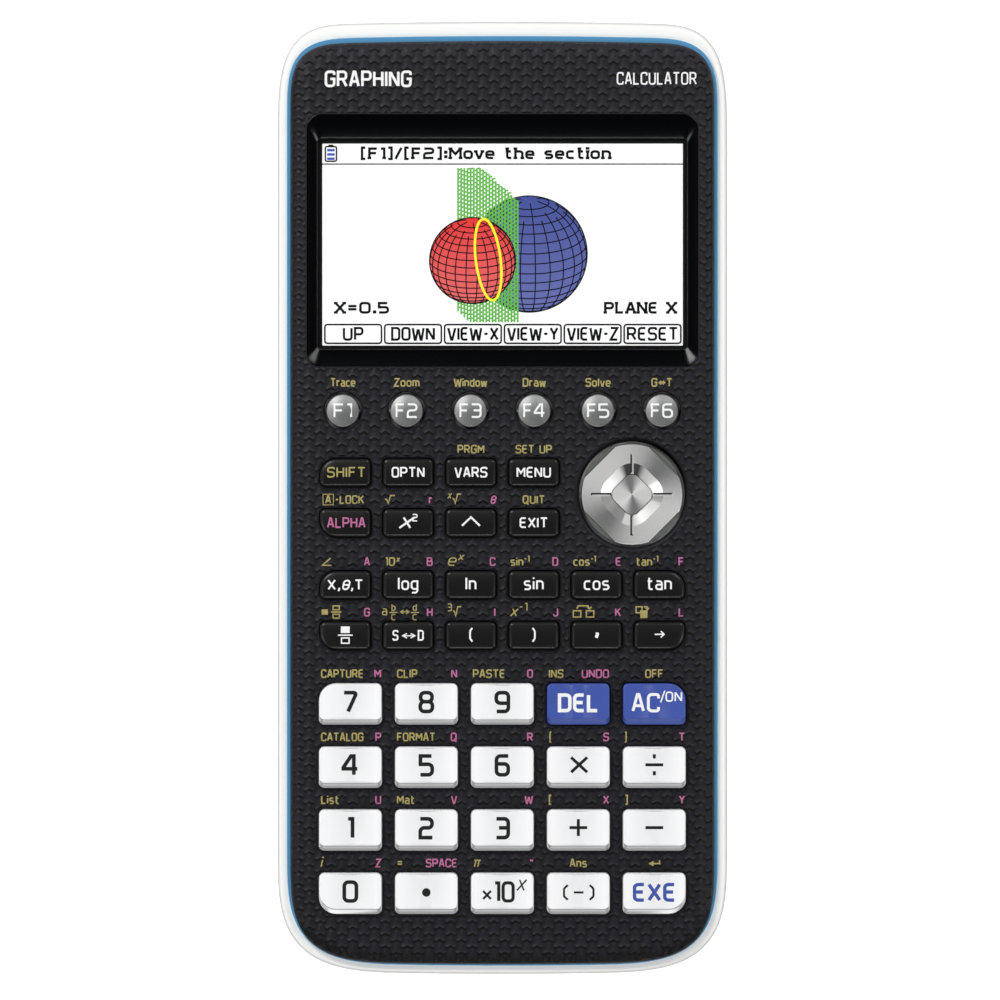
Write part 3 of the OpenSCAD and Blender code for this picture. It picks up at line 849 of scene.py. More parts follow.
HOLES = face_holes()


def hole_outline(hole, extra=0.0):
    centre, (w, h), radii = hole
    grown = [w + 2 * extra, h + 2 * extra]
    return round_box(grown, [r + extra for r in radii], centre, 24 if w == h and w > 9 else 7)


def chamfer_of(hole):
    """Width of the chamfer round a hole: a dish round the cursor pad, and a fine edge elsewhere."""
    return 0.7 if hole[0] == pad_at.xy else 0.0 if hole[1] == BEZEL else CHAMFER


def hole_distance(x, y):
    """Distance to the nearest hole's chamfer, up to 1."""
    nearest = 1.0
    for hole in HOLES:
        centre, (w, h), radii = hole
        edge = chamfer_of(hole)
        if abs(x - centre[0]) < w / 2 + edge + 1 and abs(y - centre[1]) < h / 2 + edge + 1:
            nearest = min(nearest, box_distance(x, y, centre, (w, h), radii) - edge)
    return nearest


def tripod(centre):
    """Outline of a three-armed ridge, and its crests, hips and valleys."""
    apex = (centre[0], centre[1] - CREST / cos(pi / 6))
    loop, lines = [], [[centre, apex]]
    for angle, length, shift in ARMS:
        right, left = turned([(length, -ARM_W), (length, ARM_W)], angle, centre)
        valley = turned([(ARM_W / cos(pi / 6), 0)], angle + 60, centre)[0]
        crest = turned([(length - ARM_END, shift)], angle, centre)[0]
        loop += [right, left, valley]
        lines += [[apex if shift else centre, crest], [crest, right], [crest, left]]
        lines.append([apex if angle == 210 else centre, valley])
    return [loop + loop[:1]] + lines


def ridge(x, y, centre):
    """From 0 on a ridge's outline and outside it to 1 on its crests."""
    dx, dy = x - centre[0], y - centre[1]
    highest = 0.0
    for angle, length, shift in ARMS:
        a = radians(angle)
        u, v = dx * cos(a) + dy * sin(a), dy * cos(a) - dx * sin(a)
        if u < -0.01 or dx * shift > 0.0001:
            continue
        rise = min((ARM_W - v) / (ARM_W - shift), (v + ARM_W) / (ARM_W + shift), (length - u) / ARM_END)
        highest = max(highest, rise if shift else rise * ARM_W / (ARM_W + CREST))
    return highest


def tripod_centres():
    """Centres of the ridges over the whole face; every other column lies half a pitch higher."""
    low_x, high_x = ((x - PATTERN_AT[0]) / PITCH_X for x in (face_low.x, face_high.x))
    low_y, high_y = ((y - PATTERN_AT[1]) / PITCH_Y for y in (face_low.y, face_high.y))
    for i in range(floor(low_x), ceil(high_x) + 1):
        for j in range(floor(low_y) - 1, ceil(high_y) + 2):
            yield PATTERN_AT[0] + i * PITCH_X, PATTERN_AT[1] + (j + (i % 2) / 2) * PITCH_Y


def near_centres(x, y):
    """Centres of the ridges that may reach a point."""
    i0 = round((x - PATTERN_AT[0]) / PITCH_X)
    for i in (i0 - 1, i0, i0 + 1):
        j0 = round((y - PATTERN_AT[1]) / PITCH_Y - (i % 2) / 2)
        for j in (j0 - 1, j0, j0 + 1):
            yield PATTERN_AT[0] + i * PITCH_X, PATTERN_AT[1] + (j + (i % 2) / 2) * PITCH_Y


def roll_drop(d):
    """How far the face falls below its flat height at distance d inside its rim."""
    for (d0, z0), (d1, z1) in zip(ROLL, ROLL[1:]):
        if d <= d1:
            return z0 + (z1 - z0) * (d - d0) / (d1 - d0)
    return 0.0


def face_height(x, y):
    """Height of the face: its rolled rim, and the relief, which fades out near the rim and the holes."""
    d = rim_distance(x, y)
    highest = max(ridge(x, y, c) for c in near_centres(x, y))
    clear = min(hole_distance(x, y), d)
    fade = min(1.0, max(0.0, (clear - MARGIN) / FADE))
    return FACE_Z - roll_drop(d) + (RELIEF_LOW + (RELIEF_HIGH - RELIEF_LOW) * highest) * fade


def tripod_lines():
    """Lines of the ridges that reach the face, as (centre, lines)."""
    found = []
    for x, y in tripod_centres():
        if inside_outline(grow(FRONT, 1.5, 1.5, 1.5), x, y) and hole_distance(x, y) > -1.6:
            found.append(((x, y), tripod((x, y))))
    return found


TRIPODS = tripod_lines()


def wall_steps(ring):
    """The wall below a boundary loop of the face: [(distance inwards, height), ...]."""
    xs = [x for x, _ in ring]
    if max(xs) > FRONT[0] - 1:
        return [(0, SKIRT_Z), (1.8, SKIRT_Z), (1.8, UNDER_Z)]
    if hypot(ring[0][0] - pad_at.x, ring[0][1] - pad_at.y) < 12:
        return [(-0.2, FACE_Z - 0.06), (-0.45, FACE_Z - 0.25), (-0.7, FACE_Z - 0.7), (-0.7, UNDER_Z)]
    if max(xs) - min(xs) > 60:
        return [(0, UNDER_Z)]
    return [(-CHAMFER, FACE_Z - CHAMFER), (-CHAMFER, UNDER_Z)]


def build_face(material):
    """The front shell: relief on top, chamfered holes, rolled rim, skirt and a flat underside."""
    rings = [outline(inset(FRONT, d)) for d, _ in ROLL[1:]]
    rings += [outline(inset(FRONT, MARGIN + e)) for e in (0, FADE)]
    for hole in HOLES:
        rings += [hole_outline(hole, chamfer_of(hole) + MARGIN + e) for e in (0, FADE)]
    lines = [line for _, shape in TRIPODS for line in shape] + [ring + ring[:1] for ring in rings]
    regions = [outline(FRONT)] + [hole_outline(hole, chamfer_of(hole)) for hole in HOLES]
    flat, triangles = sheet(regions, lambda o: o == {0}, lines)
    points = [(x, y, face_height(x, y)) for x, y in flat]
    faces = list(triangles)
    rims = []
    for last in boundary_loops(triangles):
        ring = [flat[i] for i in last]
        for d, z in wall_steps(ring):
            last = add_wall(points, faces, last, shrunk_loop(ring, d), z)
        rims.append(last)
    under_regions = [[points[i][:2] for i in rim] for rim in rims]
    outer = max(range(len(rims)), key=lambda k: max(x for x, _ in under_regions[k]))
    under, below = sheet(under_regions, lambda o: o == {outer})
    numbers = matched(under, [i for rim in rims for i in rim], points, lambda x, y: UNDER_Z)
    faces += [tuple(numbers[i] for i in reversed(t)) for t in below]
    piece = add_piece("front_shell", points, faces, material, "case", sharp=24)
    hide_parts("front_case")


def build_bezel(material):
    """Glossy frame that slopes down from the face to the window."""
    def outer(d):
        return round_box([BEZEL[0] - 2 * d, BEZEL[1] - 2 * d], [BEZEL_CORNER - d] * 4, bezel_at, 10)

    def inner(d):
        return round_box([WINDOW[0] + 2 * d, WINDOW[1] + 2 * d], [1 + d] * 4, window_at, 10)

    slope_z = UNDER_Z + 1
    rings = [level(outer(0.02), UNDER_Z + 0.8), level(outer(0.02), FACE_Z - 0.05),
             level(outer(0.08), FACE_Z), level(outer(0.2), FACE_Z - 0.02),
             level(inner(0.22), slope_z + 0.06), level(inner(0.08), slope_z - 0.02),
             level(inner(0), slope_z - 0.14), level(inner(0), UNDER_Z + 0.8)]
    points, faces = loft(rings, closed=True)
    add_piece("display_bezel", points, faces, material, "case", sharp=50)


def build_band(material):
    """The thin blue ring between the two shells."""
    inner = outline(grow(FRONT, 0.03, 0.03, 0.03))
    outer = outline(BAND)
    rings = [level(inner, RIM_Z), level(outer, RIM_Z), level(outer, band_high.z - 0.15),
             level(outline(inset(BAND, 0.12)), band_high.z), level(inner, band_high.z)]
    points, faces = loft(rings, closed=True)
    piece = add_piece("accent_ring", points, faces, material, "case", sharp=40)
    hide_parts("accent_band")


# ---------- Rear case ----------

# Middles of the screws, the posts under the board, and the feet
SCREWS = [(-33, -86.2), (33, -86.2), (-39, 20), (39, 20), (-36, 83), (36, 83)]
POSTS = [(-31, -66), (31, -66), (-31, -10), (31, -10), (0, 12), (0, -60)]
FEET = [(-24, -85.5), (24, -85.5), (-22, 86), (22, 86)]
# Top of the screw wells, radius of the screw bosses, inside of the back, and underside of the board
WELL_Z = 3
BOSS_R = 1.9
FLOOR_Z = 2.5
BOARD_Z = node_box("circuit_board")[1].z - 0.8
BAY = [45.2, 49.4]
bay_at = Vector((0, middle("batteries").y))
BAY_TOP = node_box("batteries")[1].z + 0.05
cover_low, cover_high = node_box("battery_cover")
# The cover without its hooks, which reach 1.4 mm further south
LID = [cover_high.x - cover_low.x, cover_high.y - cover_low.y - 1.4]
lid_at = Vector((0, cover_high.y - LID[1] / 2))
# A ball below the back that scoops out the thumb's place at the cover's edge
THUMB_R = 6
thumb_at = (0, cover_high.y + 1, -4.7)
restart_at = middle("restart_button")
# Where the cover's hooks are along X
HOOKS = (-13, 13)


def column(radius, centre, low, high, n=32):
    """An upright cylinder."""
    return loft([level(circle(radius, centre, n), low), level(circle(radius, centre, n), high)])


def block(size, radius, centre, low, high):
    """A block with rounded upright edges."""
    shape = round_box(size, [radius] * 4, centre)
    return loft([level(shape, low), level(shape, high)])


def rounded_block(size, radius, centre, steps):
    """A block whose bottom edge is rounded by steps of (height, distance inwards)."""
    return loft([level(round_box([size[0] - 2 * d, size[1] - 2 * d], [radius - d] * 4, centre, 8), z)
                 for z, d in steps])


def tunnel(shape, centre_x, centre_z, y0, y1):
    """A solid along Y with the given outline in X and Z."""
    return loft([[(centre_x + u, y, centre_z + v) for u, v in shape] for y in (y1, y0)])


def ball(radius, centre, n=32, steps=12):
    """A sphere, as rings from pole to pole."""
    rings = []
    for j in range(1, steps):
        a = pi * j / steps - pi / 2
        rings.append(level(circle(radius * cos(a), centre, n), centre[2] + radius * sin(a)))
    return loft(rings)


def cut(piece, solids, operation):
    """Boolean the solids with a piece, one after another, and keep the result."""
    tools = []
    for points, faces in solids:
        mesh = bpy.data.meshes.new("tool")
        mesh.from_pydata([(x * MM, y * MM, z * MM) for x, y, z in points], [], faces)
        tool = bpy.data.objects.new("tool", mesh)
        bpy.context.scene.collection.objects.link(tool)
        tools.append(tool)
        modifier = piece.modifiers.new("cut", "BOOLEAN")
        modifier.operation, modifier.object, modifier.solver = operation, tool, "EXACT"
    result = bpy.data.meshes.new_from_object(piece.evaluated_get(bpy.context.evaluated_depsgraph_get()))
    piece.modifiers.clear()
    piece.data = result
    for tool in tools:
        bpy.data.objects.remove(tool)


LIP_R = 0.85


def rear_section(z):
    """Outline of the rear case at height z: round below, upright in the middle, rounded into the flat lip."""
    widest = rear_low.z + 8
    if z < widest:
        t = max(0.0, (z - 0.5) / (widest - 0.5))
        return inset(REAR, 3.3 * (1 - t ** 0.45) ** 1.6)
    up = max(0.0, z - RIM_Z + LIP_R) / LIP_R
    return inset(REAR, LIP_R * (1 - (1 - up ** 2) ** 0.5))


def build_rear_case(material):
    """The white shell with its lip, battery bay, bosses and feet, and the openings cut through it."""
    heights = [0.5, 0.56, 0.66, 0.8, 1.0, 1.3, 1.8, 2.5, 3.5, 5, 6.5, 8, 10, 11.4]
    heights += [RIM_Z - LIP_R * (1 - sin(radians(a))) for a in range(0, 91, 15)]
    rings = [level(outline(rear_section(z)), z) for z in heights]
    rings.append(level(outline(RIM), RIM_Z))
    step = grow(FRONT, 0.05, 0.05, 0.05)
    rings += [level(outline(step), RIM_Z), level(outline(step), SKIRT_Z),
              level(outline(inset(FRONT, 1)), SKIRT_Z)]
    rings += [level(outline(inset(REAR, d)), z) for z, d in ((8.5, 1.9), (5, 2.1), (FLOOR_Z, 3.2))]
    points, faces = loft(rings)
    piece = add_piece("rear_shell", points, faces, material, "case", sharp=28)
    bay_box = block([BAY[0] + 2.4, BAY[1] + 2.4], 1, bay_at, 1.9, BAY_TOP + 0.6)
    boss = [(0, 1.5), (BOSS_R + 0.9, 1.5), (BOSS_R + 0.9, 4), (BOSS_R, 4), (BOSS_R, SKIRT_Z), (0, SKIRT_Z)]
    bosses = [lathe(boss, p, 32) for p in SCREWS]
    posts = [column(1.5, p, 1.5, BOARD_Z) for p in POSTS]
    foot_steps = [(0, 0.45), (0.08, 0.2), (0.25, 0.04), (0.5, 0), (1, 0)]
    feet = [rounded_block([9, 4], 1.9, p, foot_steps) for p in FEET]
    cut(piece, [joined(bay_box, *bosses, *posts, *feet)], "UNION")
    seat = block([LID[0] + 0.6, LID[1] + 0.6], 2.3, lid_at, -0.5, cover_low.z + 1.25)
    cuts = [block(BAY, 0.6, bay_at, -0.5, BAY_TOP), seat]
    for x in HOOKS:
        centre = (x, cover_low.y + 1.6)
        cuts.append(block([6.8, 4.2], 0.2, centre, cover_low.z + 1.2, cover_low.z + 2.2))
    cuts.append(ball(THUMB_R, thumb_at))
    well = [(0, -0.5), (BOSS_R + 0.35, -0.5), (BOSS_R + 0.35, 0.62), (BOSS_R + 0.1, 0.9),
            (BOSS_R + 0.1, WELL_Z), (1.1, WELL_Z), (1.1, 13.4), (0, 13.4)]
    cuts += [lathe(well, p, 32) for p in SCREWS]
    restart_hole = [(0, -0.5), (1.7, -0.5), (1.7, 0.6), (1.4, 0.9), (1.4, 3.5), (0, 3.5)]
    cuts.append(lathe(restart_hole, restart_at.xy, 32))
    y0, y1 = rear_high.y - 3.2, rear_high.y + 1
    cuts.append(tunnel(circle(3, n=40), -14, BOARD_Z - 2.5, y0, y1))
    cuts.append(tunnel(round_box([8.6, 4.6], [0.8] * 4), 9, BOARD_Z - 2, y0, y1))
    cut(piece, cuts, "DIFFERENCE")
    finish_mesh(piece, 28)
    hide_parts("rear_case")


def build_battery_cover(material):
    """The cover with its two hooks, latch tongue, grip ribs and arrow."""
    base = cover_low.z
    steps = [(0, 0.35), (0.06, 0.16), (0.18, 0.04), (0.35, 0), (1.2, 0)]
    points, faces = rounded_block(LID, 2, lid_at, [(base + z, d) for z, d in steps])
    piece = add_piece("battery_lid", points, faces, material, "cover", sharp=28)
    hooks = []
    for x in HOOKS:
        centre_y = cover_low.y + 1.4
        hooks.append(block([6, 2.8], 0.3, (x, centre_y), base + 1.3, base + 1.9))
        hooks.append(block([6, 1.4], 0.2, (x, centre_y + 0.7), base + 0.7, base + 1.5))
    for solid in hooks:
        cut(piece, [solid], "UNION")
    cuts = [ball(THUMB_R, thumb_at)]
    for side in (-1, 1):
        cuts.append(block([0.6, 9.5], 0.25, (side * 6, cover_high.y - 4.25), base - 0.5, base + 2))
    for k in range(5):
        rib = round_box([9.4, 0.7], [0.34] * 4, (0, cover_high.y - 4.6 - 1.25 * k))
        cuts.append(loft([level(rib, base - 0.2), level(rib, base + 0.28)]))
    # Arrow towards the latch tongue
    tip = cover_high.y - 14
    arrow = [(-2.6, tip - 3.4), (2.6, tip - 3.4), (0, tip)]
    cuts.append(loft([level(arrow, base - 0.2), level(arrow, base + 0.22)]))
    cut(piece, cuts, "DIFFERENCE")
    finish_mesh(piece, 28)
    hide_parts("battery_cover")


# ---------- Keys ----------

def key_ring(node, side, back, front, z):
    """Outline of a key inset by amounts at its sides, back and front. z is a height or a function."""
    w, h = cap_size(node)
    centre = middle(node)
    shift = (front - back) / 2
    radii = [max(0.2, r - (side + max(back, 0)) / 2) for r in cap_radii(node)]
    ring = round_box([w - 2 * side, h - back - front], radii, (centre.x, centre.y + shift), 7)
    return [(x, y, z(x, y) if callable(z) else z) for x, y in ring]


def strip_lines(ring, xs):
    """Lines along Y at each x, ending just inside a closed ring."""
    lines = []
    for x in xs:
        ys = []
        for (x0, y0, _), (x1, y1, _) in zip(ring, ring[1:] + ring[:1]):
            if (x0 - x) * (x1 - x) < 0:
                ys.append(y0 + (y1 - y0) * (x - x0) / (x1 - x0))
        if len(ys) == 2 and abs(ys[0] - ys[1]) > 1:
            lines.append([(x, min(ys) + 0.2), (x, max(ys) - 0.2)])
    return lines


def build_key(node, body, material, slot, sections, top, xs):
    """A cap with its flange, hollow underside and post. top is the height function of its top face."""
    low, high = node_box(node)
    centre = middle(node)
    w, h = cap_size(node)
    flange = [w + 2 * FLANGE, h + 2 * FLANGE]
    wide = round_box(flange, [r + FLANGE for r in cap_radii(node)], centre, 7)
    hollow = round_box([w - 2.2, h - 1.3], [max(0.3, r - 0.6) for r in cap_radii(node)], centre, 7)
    ceiling = high.z - 1.7
    rings = [level(hollow, ceiling), level(hollow, FLANGE_LOW), level(wide, FLANGE_LOW),
             level(wide, FLANGE_HIGH), key_ring(node, 0, 0, 0, FLANGE_HIGH)]
    rings += [key_ring(node, side, back, front, z) for side, back, front, z in sections]
    points, faces = loft(rings)
    faces.pop()
    last = rings[-1]
    flat, triangles = sheet([[p[:2] for p in last]], bool, strip_lines(last, xs))
    numbers = matched(flat, range(len(points) - len(last), len(points)), points, top)
    faces += [tuple(numbers[i] for i in t) for t in triangles]
    post = column(2 if slot != "key_black" else 1.3, centre, low.z + POST_GAP, ceiling + 0.2, 24)
    points, faces = joined((points, faces), post)
    piece = add_piece(node + "_cap", points, faces, material, body, sharp=32)
    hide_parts(node)


def legend_polygons(parts, x, y):
    """Polygons of a legend's parts, each of them (text, right, up, height, stroke, options of lettering)."""
    polygons = []
    for text, right, up, height, stroke, options in parts:
        polygons += lettering(text, (x + right, y + up), height, stroke, **options)
    return polygons


def key_print(node, body, material, polygons, top, xs):
    """The legend of a key, cut along its dish."""
    low, high = node_box(node)
    lines = [[(x, low.y), (x, high.y)] for x in xs]
    points, faces = print_solid(polygons, lines, top)
    add_piece(node + "_legend", points, faces, material, body)


NUMBER_DISH = 0.36
# Legends of the large keys that aren't one digit, measured from NUMBER_BASE below the key's middle
NUMBER_BASE = 1.85
NUMBER_LEGENDS = {
    "×10": [("×", -3.1, 0, 3.1, 0.45, {}), ("10", 0.35, 0.05, 4.2, 0.64, {"narrow": 0.84}),
            ("~x", 3.6, 2.3, 3.3, 0.32, {})],
    "AC": [("AC", -1.7, 0.2, 3.8, 0.56, {"fit": 5.6}), ("/", 1.65, 2.2, 2.2, 0.26, {}),
           ("ON", 3.85, 2.3, 2.0, 0.3, {"fit": 3.3})],
    "DEL": [("DEL", 0, 0.2, 3.75, 0.68, {"fit": 8.1})],
    "EXE": [("EXE", 0, 0.2, 3.75, 0.68, {"fit": 8.5})],
    "(–)": [("(–)", 0, 0.55, 3.0, 0.42, {"fit": 6.4})],
    "÷": [("÷", 0, -0.56, 5.8, 0.6, {"fit": 4.1})],
}
for sign in "×+−":
    NUMBER_LEGENDS[sign] = [(sign, 0, -0.41, 5.5, 0.6, {"fit": 4.1})]
for digit in "0123456789":
    NUMBER_LEGENDS[digit] = [(digit, 0, 0, 4.45, 0.74, {"narrow": 0.98})]

# Legends of the small keys, measured from WORD_BASE below the key's middle
WORD_BASE = 1.02
WORD_LEGENDS = {
    "S↔D": [("S", -2.5, 0, 2.12, 0.31, {"narrow": 0.8}), ("↔", 0, 0, 2.12, 0.21, {"fit": 2.9}),
            ("D", 2.5, 0, 2.12, 0.31, {"narrow": 0.8})],
    "(": [("(", 0, -0.2, 2.75, 0.34, {})],
    ")": [(")", 0, -0.2, 2.75, 0.34, {})],
    ",": [(",", 0, 0.85, 3.4, 0.62, {})],
    "^": [("^", 0, -0.25, 3.6, 0.36, {"fit": 3.9})],
    "→": [("→", 0, 0.2, 2.3, 0.27, {})],
    "½": [("½", 0, -0.65, 3.5, 0.26, {})],
    "~x<2>": [("~x", -0.6, -0.15, 3.3, 0.38, {"fit": 2.6}), ("2", 1.35, 1.3, 1.5, 0.24, {})],
}
for word in ("log", "ln", "sin", "cos", "tan"):
    WORD_LEGENDS[word] = [(word, 0, 0, 2.6, 0.35, {"narrow": 1.02})]
for word in ("SHIFT", "ALPHA"):
    WORD_LEGENDS[word] = [(word, 0.2, 0, 2.12, 0.31, {"fit": 7.6})]
for word, width in (("OPTN", 6.5), ("VARS", 6.5), ("MENU", 6.8), ("EXIT", 5.6), ("X,~θ,T", 7.0)):
    WORD_LEGENDS[word] = [(word, 0, 0, 2.12, 0.33, {"fit": width})]


def build_number_key(node, legend, materials):
    """A large key with a dish across its top."""
    high = node_box(node)[1]
    centre = middle(node)
    w = cap_size(node)[0]
    body = node + "_cap"
    blue = node in ("key_delete", "key_clear")

    def top(x, y):
        return high.z - NUMBER_DISH * (1 - min(1, abs(x - centre.x) / (w / 2 - 0.25)) ** 2)

    def lower(d):
        return lambda x, y: top(x, y) - d

    sections = [(0, 0, 0, high.z - 1.05), (0.03, 0.03, 0.1, high.z - 0.88), (0.07, 0.07, 0.88, lower(0.38)),
                (0.11, 0.1, 1.0, lower(0.14)), (0.17, 0.16, 1.05, lower(0.05)), (0.28, 0.26, 1.16, lower(0))]
    xs = [centre.x + (w / 2 - 0.4) * k / 9 for k in range(-9, 10)]
    slot = "key_blue" if blue else "key_white"
    build_key(node, body, materials[slot], slot, sections, top, xs)
    ink_name = "ink_white" if blue else "ink_blue" if node == "key_execute" else "ink_dark"
    if legend == "•":
        polygons = [circle(0.85, (centre.x, centre.y + 0.2), 20)]
    else:
        polygons = legend_polygons(NUMBER_LEGENDS[legend], centre.x, centre.y - NUMBER_BASE)
    key_print(node, body, materials[ink_name], polygons, top, xs)


def build_word_key(node, legend, materials):
    """A small dark key with a rounded edge and a flat top."""
    high = node_box(node)[1]
    centre = middle(node)
    body = node + "_cap"

    def top(x, y):
        return high.z

    sections = [(0, 0, 0, high.z - 0.75)]
    for angle in (18, 36, 54, 72):
        a = radians(angle)
        d = 0.5 * (1 - cos(a))
        sections.append((d, d, d, high.z - 0.75 + 0.68 * sin(a)))
    sections += [(0.5, 0.5, 0.5, high.z - 0.07), (0.75, 0.75, 0.75, high.z)]
    build_key(node, body, materials["key_black"], "key_black", sections, top, [])
    name = {"key_shift": "ink_yellow", "key_alpha": "ink_pink"}.get(node, "ink_white")
    polygons = legend_polygons(WORD_LEGENDS[legend], centre.x, centre.y - WORD_BASE)
    key_print(node, body, materials[name], polygons, top, [])


def build_round_key(node, legend, materials):
    """Domed round key with a small pip at one side, towards its neighbour."""
    low, high = node_box(node)
    centre = middle(node)
    body = node + "_cap"
    r = 3.25
    recess_r = 2.6
    crown_r = 2.86
    crown_rise = 0.4
    shoulder = high.z - 0.78
    crown_z = high.z - crown_rise

    def top(x, y):
        d = hypot(x - centre.x, y - centre.y)
        return crown_z + crown_rise * (1 - (d / crown_r) ** 2)

    profile = [(0, low.z + POST_GAP), (recess_r, low.z + POST_GAP), (recess_r, FLANGE_LOW),
               (r + 1, FLANGE_LOW), (r + 1, FLANGE_HIGH), (r, FLANGE_HIGH), (r, shoulder)]
    for angle in (18, 36, 54, 72):
        a = radians(angle)
        profile.append((crown_r + (r - crown_r) * cos(a), shoulder + (crown_z - shoulder) * sin(a)))
    for k in range(8):
        d = crown_r * (1 - k / 8)
        profile.append((d, top(centre.x + d, centre.y)))
    profile += [(0.01, high.z), (0, high.z)]
    side = 1 if int(legend[1]) % 2 else -1
    pip_shape = ((3.0, -0.5), (3.45, -0.12), (3.45, 0.12), (3.0, 0.5))
    pip = [(centre.x + side * u, centre.y + v) for u, v in pip_shape]
    if side < 0:
        pip.reverse()
    web = loft([level(pip, shoulder - 0.75), level(pip, shoulder - 0.05)])
    points, faces = joined(lathe(profile, centre, 72), web)
    piece = add_piece(node + "_cap", points, faces, materials["key_grey"], body, sharp=35)
    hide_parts(node)
    wide = 3.7 if legend == "F1" else 4.4
    polygons = lettering(legend, (centre.x, centre.y - 1.45), 2.9, 0.4, fit=wide)
    rings = [circle(crown_r * (1 - k / 8), centre.xy, 72) for k in range(8)]
    points, faces = print_solid(polygons, [ring + ring[:1] for ring in rings], top, 0.02)
    add_piece(node + "_legend", points, faces, materials["ink_white"], body)


# ---------- Cursor pad ----------

PAD_R = 9.9
# Distance of the four straight edges, where the lower segments start
CHORD = 8.93
# The sunken diamond in the middle: half side, corner radius and height
DIAMOND = 3.39
DIAMOND_R = 1.85
DIAMOND_TOP = -0.34
# The polished bevel that slopes down to the diamond, and the step at its foot
BEVEL_LOW = -0.62
BEVEL_W = 2.15
STEP_W = 0.12
# The four V-shaped slits: their ends from the middle, half width and depth
SLIT_FROM = 4.1
SLIT_TO = 8.1
SLIT_HALF = 0.33
SLIT_DEPTH = 0.5
# Width of the rounded outer edge
EDGE_W = 0.1


def diamond_distance(x, y):
    """Signed distance from the pad's diamond, negative inside."""
    u, v = (x + y) / 2 ** 0.5, (y - x) / 2 ** 0.5
    return box_distance(u, v, (0, 0), [2 * DIAMOND] * 2, [DIAMOND_R] * 4)


def slit_depth(x, y):
    """From 0 outside the four V-shaped slits to 1 along their middles."""
    deepest = 0.0
    for u, v in ((abs(x), y), (abs(y), x)):
        deepest = max(deepest, min(SLIT_HALF - abs(v), u - SLIT_FROM, SLIT_TO - u))
    return min(1.0, deepest / SLIT_HALF)


def pad_height(x, y):
    """Height over the pad's flat ring."""
    outside = (abs(x) + abs(y)) / 2 ** 0.5 - CHORD
    z = -0.3 * min(1.0, max(outside, 0) / 0.06)
    d = diamond_distance(x, y)
    if d < 0:
        z += DIAMOND_TOP + (BEVEL_LOW - DIAMOND_TOP) * max(0.0, 1 + d / STEP_W)
    else:
        z += BEVEL_LOW * max(0.0, 1 - d / BEVEL_W)
    if outside < 0:
        z -= 0.6 * max(0, hypot(x, y) - (PAD_R - EDGE_W))
    return z - SLIT_DEPTH * slit_depth(x, y)


# The slits' walls use two copies of one metal: pad_slit with painted shade and pad_slit_lit with a painted
# highlight.
PAD_MATERIALS = ["pad_metal", "pad_centre", "pad_bevel", "pad_segment", "pad_slit", "pad_slit_lit"]


def pad_region(x, y):
    """Number in PAD_MATERIALS of a point's material."""
    d = diamond_distance(x, y)
    if slit_depth(x, y) > 0.01:
        # Slit walls that face east or south get the painted shade, the others the painted highlight.
        return 4 if (y > 0 if abs(x) > abs(y) else x < 0) else 5
    if (abs(x) + abs(y)) / 2 ** 0.5 > CHORD or -STEP_W < d < 0:
        return 3
    return 2 if 0 <= d < BEVEL_W else 1 if d < 0 else 0


def pad_lines():
    """The creases of the pad's top, about its own middle."""
    lines = []
    for angle in (45, 135, 225, 315):
        lines += [turned([(CHORD + e, -4.6), (CHORD + e, 4.6)], angle) for e in (0, 0.06)]
    for extra in (-STEP_W, 0, BEVEL_W):
        side = 2 * (DIAMOND + extra)
        ring = turned(round_box([side, side], [DIAMOND_R + extra] * 4, (0, 0), 12), 45)
        lines.append(ring + ring[:1])
    slit = [(SLIT_FROM, -SLIT_HALF), (SLIT_TO, -SLIT_HALF), (SLIT_TO, SLIT_HALF), (SLIT_FROM, SLIT_HALF)]
    crease = [(SLIT_FROM, -SLIT_HALF), (SLIT_FROM + SLIT_HALF, 0), (SLIT_FROM, SLIT_HALF)]
    far_crease = [(SLIT_TO, -SLIT_HALF), (SLIT_TO - SLIT_HALF, 0), (SLIT_TO, SLIT_HALF)]
    middle_line = [(SLIT_FROM + SLIT_HALF, 0), (SLIT_TO - SLIT_HALF, 0)]
    for angle in (0, 90, 180, 270):
        lines += [turned(line, angle) for line in (slit + slit[:1], crease, far_crease, middle_line)]
    rim = circle(PAD_R - EDGE_W, n=120)
    return lines + [rim + rim[:1]]


def build_pad(materials):
    """The cursor pad: its shaped top, and a plain wall with a flange below."""
    flat, triangles = sheet([circle(PAD_R, n=120)], bool, pad_lines())
    points = [(pad_at.x + x, pad_at.y + y, PAD_TOP + pad_height(x, y)) for x, y in flat]
    faces = list(triangles)
    regions = []
    for t in triangles:
        x, y = (sum(flat[i][k] for i in t) / 3 for k in (0, 1))
        regions.append(pad_region(x, y))
    last = boundary_loops(triangles)[0]
    edge = [flat[i] for i in last]
    base = node_box("cursor_pad")[0].z
    for d, z in ((0, base + 0.55), (-0.9, base + 0.55), (-0.9, base)):
        ring = [(pad_at.x + x, pad_at.y + y) for x, y in shrunk_loop(edge, d)]
        last = add_wall(points, faces, last, ring, z)
    faces.append(tuple(reversed(last)))
    piece = add_piece("cursor_disc", points, faces, materials["pad_metal"], "cursor", sharp=9)
    for name in PAD_MATERIALS[1:]:
        piece.data.materials.append(materials[name])
    for face, region in zip(piece.data.polygons, regions):
        face.material_index = region
    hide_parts("cursor_pad")


def pad_angle(tree):
    """The place seen from the pad's axis, and the angle round it."""
    place = add_node(tree, "ShaderNodeTexCoord").outputs["Object"]
    centre = (-pad_at.x * MM, -pad_at.y * MM, 0)
    moved = add_node(tree, "ShaderNodeMapping", {"Vector": place, "Location": centre}).outputs[0]
    parts = add_node(tree, "ShaderNodeSeparateXYZ", {"Vector": moved})
    return moved, maths(tree, "ARCTAN2", parts.outputs[1], parts.outputs[0])


